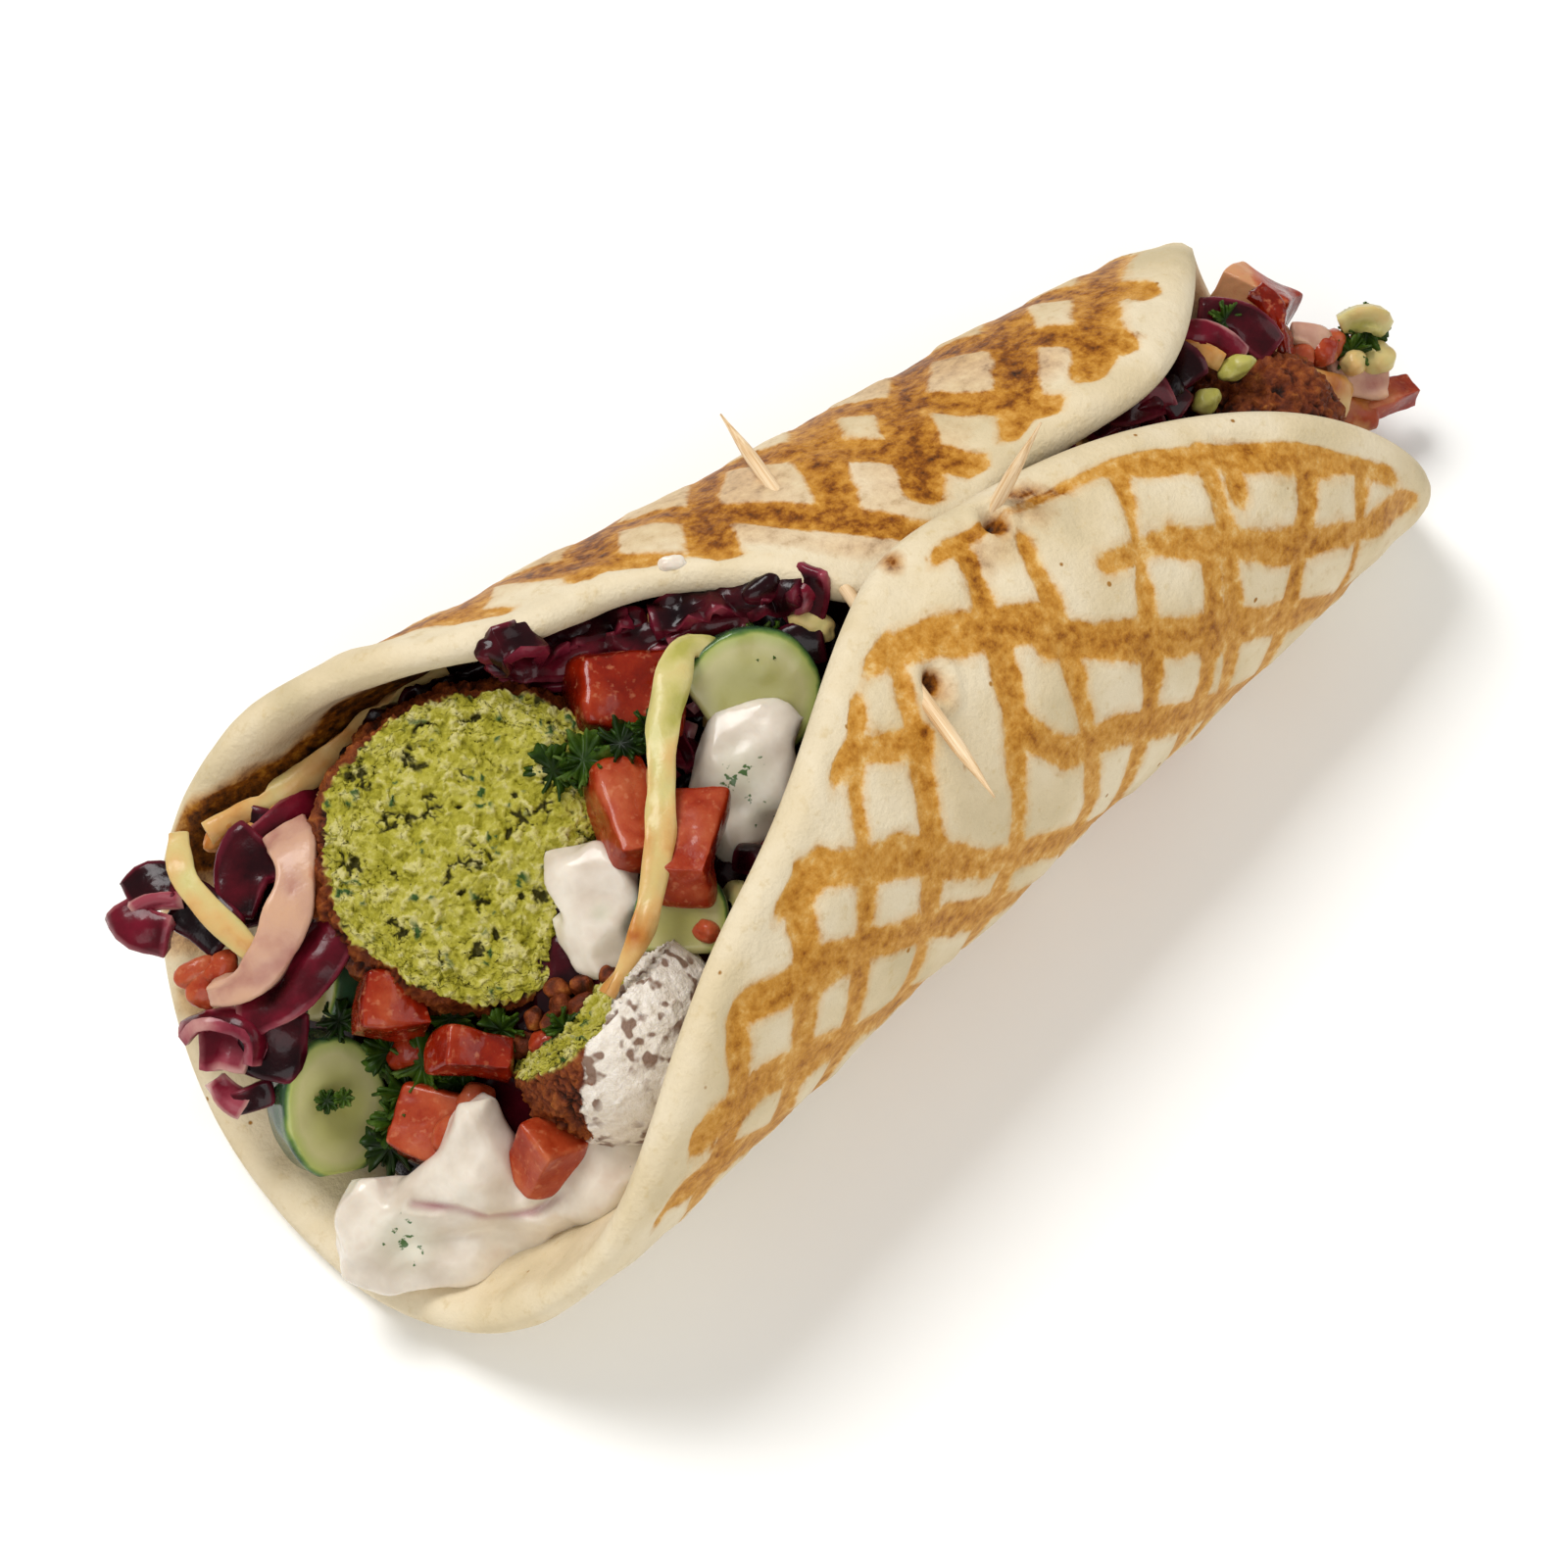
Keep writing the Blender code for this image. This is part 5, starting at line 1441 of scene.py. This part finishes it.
crumbBits = (  # crumbs off the falafels, between the two
    ((-66.4, -16.4, 35.0), (2.4, 1.8, 1.8), 30, 0.5),
    ((-68.6, -14.2, 34.6), (1.9, 1.6, 1.6), 80, 0.5),
    ((-70.6, -15.4, 32.8), (2.2, 1.8, 1.7), -20, 0.5),
    ((-63.4, -18.6, 36.4), (1.9, 1.5, 1.6), 50, 0.5),
    ((-65.0, -14.2, 36.4), (1.7, 1.5, 1.5), 10, 0.5),
    ((-67.4, -12.2, 35.0), (2.0, 1.6, 1.6), 0, 0.5),
    ((-71.8, -12.2, 32.0), (1.7, 1.5, 1.5), 60, 0.5),
    ((-74.6, -13.0, 28.6), (2.1, 1.8, 1.7), 40, 0.5),
    ((-62.0, -16.4, 38.0), (1.6, 1.3, 1.4), 70, 0.5),
    ((-64.2, -20.4, 34.6), (1.6, 1.3, 1.4), 20, 0.5),
)
paleBits = (  # kernel, chickpea and shreds of white cabbage and pepper
    ((-9.8, 1.4, 51.6), (3.6, 2.1, 2.0), -28, 0.40),
    ((-78.7, -11.5, 26.6), (2.0, 1.9, 1.9), 0, 0.78),
    ((-24.2, 16.6, 50.6), (2.0, 1.5, 1.4), 20, 0.62),
    ((-87.4, 38.0, 34.0), (3.2, 1.5, 1.1), 50, 0.80),
    ((-85.0, 36.6, 33.0), (2.6, 1.3, 1.0), 20, 0.72),
    ((74.7, 0.3, 37.6), (3.0, 1.9, 1.8), 30, 0.06),
    ((67.1, -0.8, 37.0), (2.4, 1.9, 1.8), 30, 0.04),
    ((104.4, -4.4, 18.6), (2.8, 2.5, 2.3), 20, 0.34),
    ((100.0, -3.0, 20.0), (2.2, 2.0, 2.0), 0, 0.5),
)
pulpBits = (  # soft tomato with its jelly
    ((-101.6, 25.2, 28.6), (3.4, 2.0, 1.4), 20, 0.50),
    ((-98.9, 23.2, 29.4), (2.8, 2.0, 1.5), 50, 0.42),
    ((-102.6, 23.2, 27.8), (2.2, 2.8, 1.3), 0, 0.46),
    ((-72.5, -15.5, 30.5), (2.6, 2.0, 2.0), 30, 0.30),
    ((-93.2, -9.5, 19.6), (3.0, 1.9, 2.0), -30, 0.30),
    ((-88.8, -15.2, 24.5), (3.4, 2.4, 2.2), 40, 0.42),
    ((-84.0, -13.8, 26.0), (2.6, 2.2, 2.0), 10, 0.48),
    ((-86.0, -1.5, 24.0), (3.2, 2.4, 2.2), 30, 0.22),
    ((94.9, -0.1, 24.6), (2.8, 2.4, 2.2), 0, 0.32),
    ((91.0, 1.0, 25.0), (2.6, 2.4, 2.2), 40, 0.5),
    ((98.8, 1.2, 21.6), (2.6, 2.4, 2.2), 40, 0.40),
)
sauceDrops = (((-20.1, 18.9, 57.0), (2.0, 1.2, 0.7), 4, 0),)


def makeMorsel(middle, halves, turn, tone, seed=0):  # a lump, bumpy at 0.95, 0.42 and 0.19 of its radius
    bpy.ops.object.select_all(action="DESELECT")
    bpy.ops.mesh.primitive_ico_sphere_add(subdivisions=4, radius=1)
    piece = bpy.context.object
    unit = readPoints(piece)
    push = 0.24 * bumps(unit, 950, seed) + 0.07 * bumps(unit, 420, seed + 5)
    push += 0.02 * bumps(unit, 190, seed + 8)
    spun = np.array(Matrix.Rotation(math.radians(turn), 3, "Z"))
    local = (unit * (1 + push[:, None]) * np.array(halves)) @ spun.T
    movePoints(piece, (np.array(middle) + local @ outlook.T) * mm)
    paint(piece, "edge", smooth((-0.25 - (unit @ spun.T)[:, 1]) / 0.35) * 0.8)
    paint(piece, "tone", tone + 0.5 * push)
    paint(piece, "pale", tone + 0.5 * push)
    # for the crumb bits, dents darken with this as painted shade
    paint(piece, "relief", 0.6 + 2 * push)
    return piece


def makeMorsels(name, rows, material, surface=None):
    if surface:
        rows = [(liftedOver(row[0], surface, 0.35 * row[1][2]), *row[1:]) for row in rows]
    pieces = [makeMorsel(*row, seed=index * 2.3) for index, row in enumerate(rows)]
    settle(joined(pieces, name), ["salad"], material)


# Loose shreds and bits over the whole filling: how many, and where along the wrap
scatter = {
    "seed": 11,
    "wide": (-92, -14),  # along the wrap in each mouth, and how many are tried there
    "narrow": (46, 90),
    "inMouth": (150, 90),
    "ends": (-100, 92),
    "proud": 0.6,
    "rightWall": -24,  # nothing loose lies beyond it, where sauce covers the filling
    "lowest": 16,  # nothing loose lies lower
}


def onSalad(x, share):  # the place on the bare filling at this far along and across
    u = x / bread["reach"]
    wide = bread["wide"] * sectionRadius(u) - bread["thick"] / 2 - 4
    y = wide * share
    return np.array([x, y, float(coreTop(np.array(u), np.array(y)))]) + axisShift


def isClear(place, room):  # away from the falafels and the sauce, seen from above
    for name in (*falafels, *sauces):
        low, high = (np.array(corner[:2]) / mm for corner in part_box(name))
        if np.all(place[:2] > low - room) and np.all(place[:2] < high + room):
            return False
    return place[1] > scatter["rightWall"] and place[2] > scatter["lowest"]


def scatteredPlaces(draw, each, room):  # repeats for each mouth: along, across
    for mouth, count in zip(("wide", "narrow"), scatter["inMouth"]):
        for _ in range(int(count * each)):
            x, share = draw.uniform(*scatter[mouth]), draw.uniform(-0.92, 0.92)
            if isClear(onSalad(x, share), room):
                yield x, share


def scatterStrips(name, material, each, tones, seed):
    draw = random.Random(scatter["seed"] + seed)
    pieces = []
    for x, share in scatteredPlaces(draw, each, 2):
        long, heading, bow = draw.uniform(8, 15), draw.uniform(0, 2 * math.pi), draw.uniform(-0.6, 0.6)
        line = []
        for step in (-0.5, -0.2, 0.15, 0.5):
            angle = heading + bow * step
            place = onSalad(
                min(max(x + long * step * math.cos(angle), scatter["ends"][0]), scatter["ends"][1]),
                min(max(share + long * step * math.sin(angle) / 30, -1), 1),
            )
            place[2] += scatter["proud"] + draw.uniform(-0.8, 1.8)
            line.append(place)
        roll = draw.uniform(-50, 50)
        row = {
            "line": line,
            "width": draw.uniform(2.6, 5.2),
            "roll": (roll, roll + draw.uniform(-40, 40)),
            "curl": draw.uniform(20, 120),
            "thick": draw.uniform(0.9, 1.5),
            "crinkle": 5.5,
            "seed": draw.uniform(0, 90),
            "tone": draw.uniform(*tones),
        }
        pieces.append(makeStrip(row))
    settle(joined(pieces, name), ["salad"], material)


def scatterMorsels(name, material, each, sizes, tones, seed):
    draw = random.Random(scatter["seed"] + seed)
    rows = []
    for x, share in scatteredPlaces(draw, each, 0):
        place = onSalad(x, share)
        place[2] += scatter["proud"] + draw.uniform(-0.4, 1.2)
        halves = [draw.uniform(*sizes) for _ in range(3)]
        rows.append((place, halves, draw.uniform(0, 180), draw.uniform(*tones)))
    makeMorsels(name, rows, material)


leaf = {"around": 84, "cuts": 3, "lobes": 7, "teeth": 2.5, "thick": 0.35}


def makeLeaf(middle, size, turn, seed):  # one frilly leaf of parsley
    bpy.ops.object.select_all(action="DESELECT")
    bpy.ops.mesh.primitive_circle_add(vertices=leaf["around"], radius=1, fill_type="TRIFAN")
    piece = bpy.context.object
    bpy.ops.object.mode_set(mode="EDIT")
    bpy.ops.mesh.select_all(action="SELECT")
    bpy.ops.mesh.subdivide(number_cuts=leaf["cuts"])
    bpy.ops.object.mode_set(mode="OBJECT")
    places = readPoints(piece)
    draw = random.Random(seed)
    phase = draw.uniform(0, 6)
    around = np.arctan2(places[:, 1], places[:, 0])
    out = np.hypot(places[:, 0], places[:, 1])
    lobes = 0.45 + 0.50 * np.abs(np.cos(leaf["lobes"] / 2 * around + phase)) ** 0.8
    teeth = 0.13 * np.abs(np.sin(leaf["lobes"] * leaf["teeth"] * around + phase)) * out
    places[:, :2] *= (lobes + teeth)[:, None]
    frill = 0.30 * np.sin(leaf["lobes"] * around + 2 * phase) * out**2
    frill += 0.16 * np.sin(leaf["lobes"] * leaf["teeth"] * around + phase) * out**3
    places[:, 2] = frill + 0.22 * draw.uniform(-1, 1) * places[:, 0]
    matrix = np.array(turnTo(facing) @ turned(turn))
    movePoints(piece, np.array(middle) * mm + (places * size / 2 * mm) @ matrix.T)
    paint(piece, "tone", 0.5 + 0.3 * (out - 0.5) + 0.2 * draw.uniform(-1, 1))
    worked(piece, "SOLIDIFY", thickness=leaf["thick"] * mm, offset=0)
    return piece


def makeParsleyMaterial():
    # Curly parsley, chopped: dark glossy leaf, lighter at the frilled edges
    material, tree, shader, place = newMaterial(
        "parsleyLeaf",
        Roughness=0.4,
        IOR=1.4,
        Specular_IOR_Level=0.25,
        Subsurface_Weight=0.1,
        Subsurface_Radius=(0.3, 0.6, 0.1),
        Subsurface_Scale=0.001,
    )
    tone = node(tree, "Attribute", give="Fac", attribute_name="tone")
    mottle = node(tree, "TexNoise", {"Vector": place, "Scale": every(2), "Detail": 3})
    centred = node(tree, "Math", {0: mottle, 1: 0.5}, operation="SUBTRACT")
    stirred = node(tree, "Math", {0: centred, 1: 0.7, 2: tone}, operation="MULTIPLY_ADD")
    colour = node(
        tree,
        "ValToRGB",
        {"Fac": stirred},
        stops=((0.2, "#0A1602"), (0.5, "#1C3206"), (0.75, "#37500F"), (0.95, "#5F7430")),
    )
    tree.links.new(colour, shader.inputs["Base Color"])
    return material


sprigs = (  # middle, size, turn, as the leaves lie in each bunch
    ((-50, 9.3, 46.5), 8, (20, -20, 0)),
    ((-46.5, 6.8, 48.5), 8.5, (-25, 15, 70)),
    ((-41.5, 4.8, 50), 7, (10, 30, 140)),
    ((-37.5, 3.9, 51), 5.5, (-15, -30, 210)),
    ((-88, 0.3, 24), 8, (20, 10, 30)),
    ((-86, -4.5, 25), 9, (-20, 20, 100)),
    ((-89.5, -5.5, 22), 9.5, (30, -10, 160)),
    ((-92, -7, 19.5), 9, (-20, -20, 220)),
    ((-95.5, -8.2, 17), 8, (15, 25, 290)),
    ((-81.5, -7.5, 26), 8, (-10, 15, 20)),
    ((-84, -9, 23), 7, (25, -25, 80)),
    ((-17.5, 4.5, 50.5), 7, (-10, 20, 40)),
    ((-14.5, 3.2, 50.5), 5, (25, 0, 90)),
    ((104.9, -0.4, 22), 8, (10, 20, 60)),
    ((100.5, -1.8, 21), 6.5, (-20, -10, 130)),
    ((80, 8, 37), 6, (10, 20, 0)),
    ((-98.5, 1.5, 20.6), 3.4, (0, 10, 50)),
    ((-96.5, 0.2, 21.0), 2.8, (0, -10, 150)),
    ((-100.6, 6.4, 20.4), 1.8, (0, -10, 20)),
    ((-70.8, -17.6, 36.0), 5.5, (20, 30, 60)),
    ((-79.5, -3.0, 28.0), 7.5, (-20, 10, 60)),
    ((-75.8, -9.8, 30.0), 6.5, (20, -20, 10)),
    ((-90.8, 8.0, 25.5), 6.0, (-20, 10, 120)),
)


def makeParsley(material):
    pieces = [makeLeaf(*row, seed=index) for index, row in enumerate(sprigs)]
    settle(joined(pieces, "parsley"), ["salad"], material)


breadSurface = makeBread()
print("bread")
friedPaste = makeFalafelMaterial()
for name in falafels:
    makeFalafel(name, friedPaste)
print("falafels", len(falafels))
cutTomato = makeTomatoMaterial()
for name in tomatoes:
    makeTomato(name, cutTomato)
print("tomatoes", len(tomatoes))
slicedCucumber = makeCucumberMaterial()
for name in cucumbers:
    makeCucumber(name, slicedCucumber)
print("cucumbers", len(cucumbers))
yoghurt = makeSauceMaterial()
for name in sauces:
    makeSauce(name, yoghurt)
print("sauces", len(sauces))
paleWood = makePickMaterial()
for name in picks:
    makePick(name, paleWood)
print("picks", len(picks))
cabbage = makeCabbageMaterial()
makeSaladCore(cabbage)
makeStrips("red_cabbage", redStrips, cabbage)
makeStrips("crinkled_cabbage", frills, cabbage, breadSurface)
makeMorsels("cabbage_corners", lobes, cabbage, breadSurface)
makeMorsels("fried_crumbs", crumbBits, friedPaste)
scatterStrips("loose_red_cabbage", cabbage, 1.0, (0.1, 0.7), 0)
paleFlesh = makeLeafFleshMaterial("whiteCabbage", paleStops)
makeStrips("white_cabbage", paleStrips, paleFlesh)
makeMorsels("kernels", paleBits, paleFlesh, breadSurface)
scatterStrips("loose_white_cabbage", paleFlesh, 0.22, (0.3, 0.85), 3)
makeStrips("cabbage_ribs", ribStrips, makeLeafFleshMaterial("cabbageRib", ribStops))
makeStrips("tomato_skin", redBands, cutTomato)
makeMorsels("tomato_pulp", pulpBits, cutTomato)
scatterMorsels("loose_tomato", cutTomato, 0.45, (1.2, 2.8), (0.05, 0.5), 5)
makeMorsels("sauce_drop", sauceDrops, yoghurt, breadSurface)
makeParsley(makeParsleyMaterial())
print("salad")

# The floor is a plain pale table top, painted and matt
floorLook, _, floorShader, _ = newMaterial("paleTable", Roughness=0.6)
floorShader.inputs["Base Color"].default_value = linear("#FFFFFD")
bpy.ops.object.select_all(action="DESELECT")
bpy.ops.mesh.primitive_plane_add(size=6)
floor = named("floor")
floor.data.materials.append(floorLook)

lamps = {  # soft boxes that look at the wrap: place in metres, size and power
    "keyLight": {"place": (-0.15, 0.65, 1.15), "size": 0.55, "power": 11.5},
    "fillLight": {"place": (-0.75, -0.75, 0.9), "size": 0.9, "power": 5.8},
    "sideLight": {"place": (0.9, -0.7, 0.8), "size": 0.9, "power": 3.6},
}
for name, lamp in lamps.items():
    light = bpy.data.lights.new(name, "AREA")
    light.size = lamp["size"]
    light.energy = lamp["power"]
    holder = bpy.data.objects.new(name, light)
    holder.location = lamp["place"]
    holder.rotation_euler = Vector(lamp["place"]).to_track_quat("Z", "Y").to_euler()
    bpy.context.scene.collection.objects.link(holder)

world = bpy.data.worlds.new("room")
world.use_nodes = True
world.node_tree.nodes["Background"].inputs["Color"].default_value = linear("#FFFDF8")
world.node_tree.nodes["Background"].inputs["Strength"].default_value = 0.37
bpy.context.scene.world = world
bpy.context.scene.view_settings.view_transform = "Standard"

viewpoint = {
    "azimuth": -41.35,
    "elevation": 60.23,
    "roll": 0.22,
    "distance": 474.93,
    "aim": (-21.3, -5.95, 29.9),
    "lens": 76.63,
    "sensor": 36,
}
turnAz, turnEl, turnRoll = (math.radians(viewpoint[key]) for key in ("azimuth", "elevation", "roll"))
back = Vector((math.sin(turnAz) * math.cos(turnEl), -math.cos(turnAz) * math.cos(turnEl), math.sin(turnEl)))
level = Vector((math.cos(turnAz), math.sin(turnAz), 0))
upright = back.cross(level)
sideways = level * math.cos(turnRoll) + upright * math.sin(turnRoll)
upward = upright * math.cos(turnRoll) - level * math.sin(turnRoll)
camera = bpy.data.objects.new("camera", bpy.data.cameras.new("camera"))
camera.data.sensor_width = viewpoint["sensor"]
camera.data.lens = viewpoint["lens"]
turn = Matrix((sideways, upward, back)).transposed().to_4x4()
eye = (Vector(viewpoint["aim"]) + back * viewpoint["distance"]) * mm
camera.matrix_world = Matrix.Translation(eye) @ turn
bpy.context.scene.collection.objects.link(camera)
bpy.context.scene.camera = camera
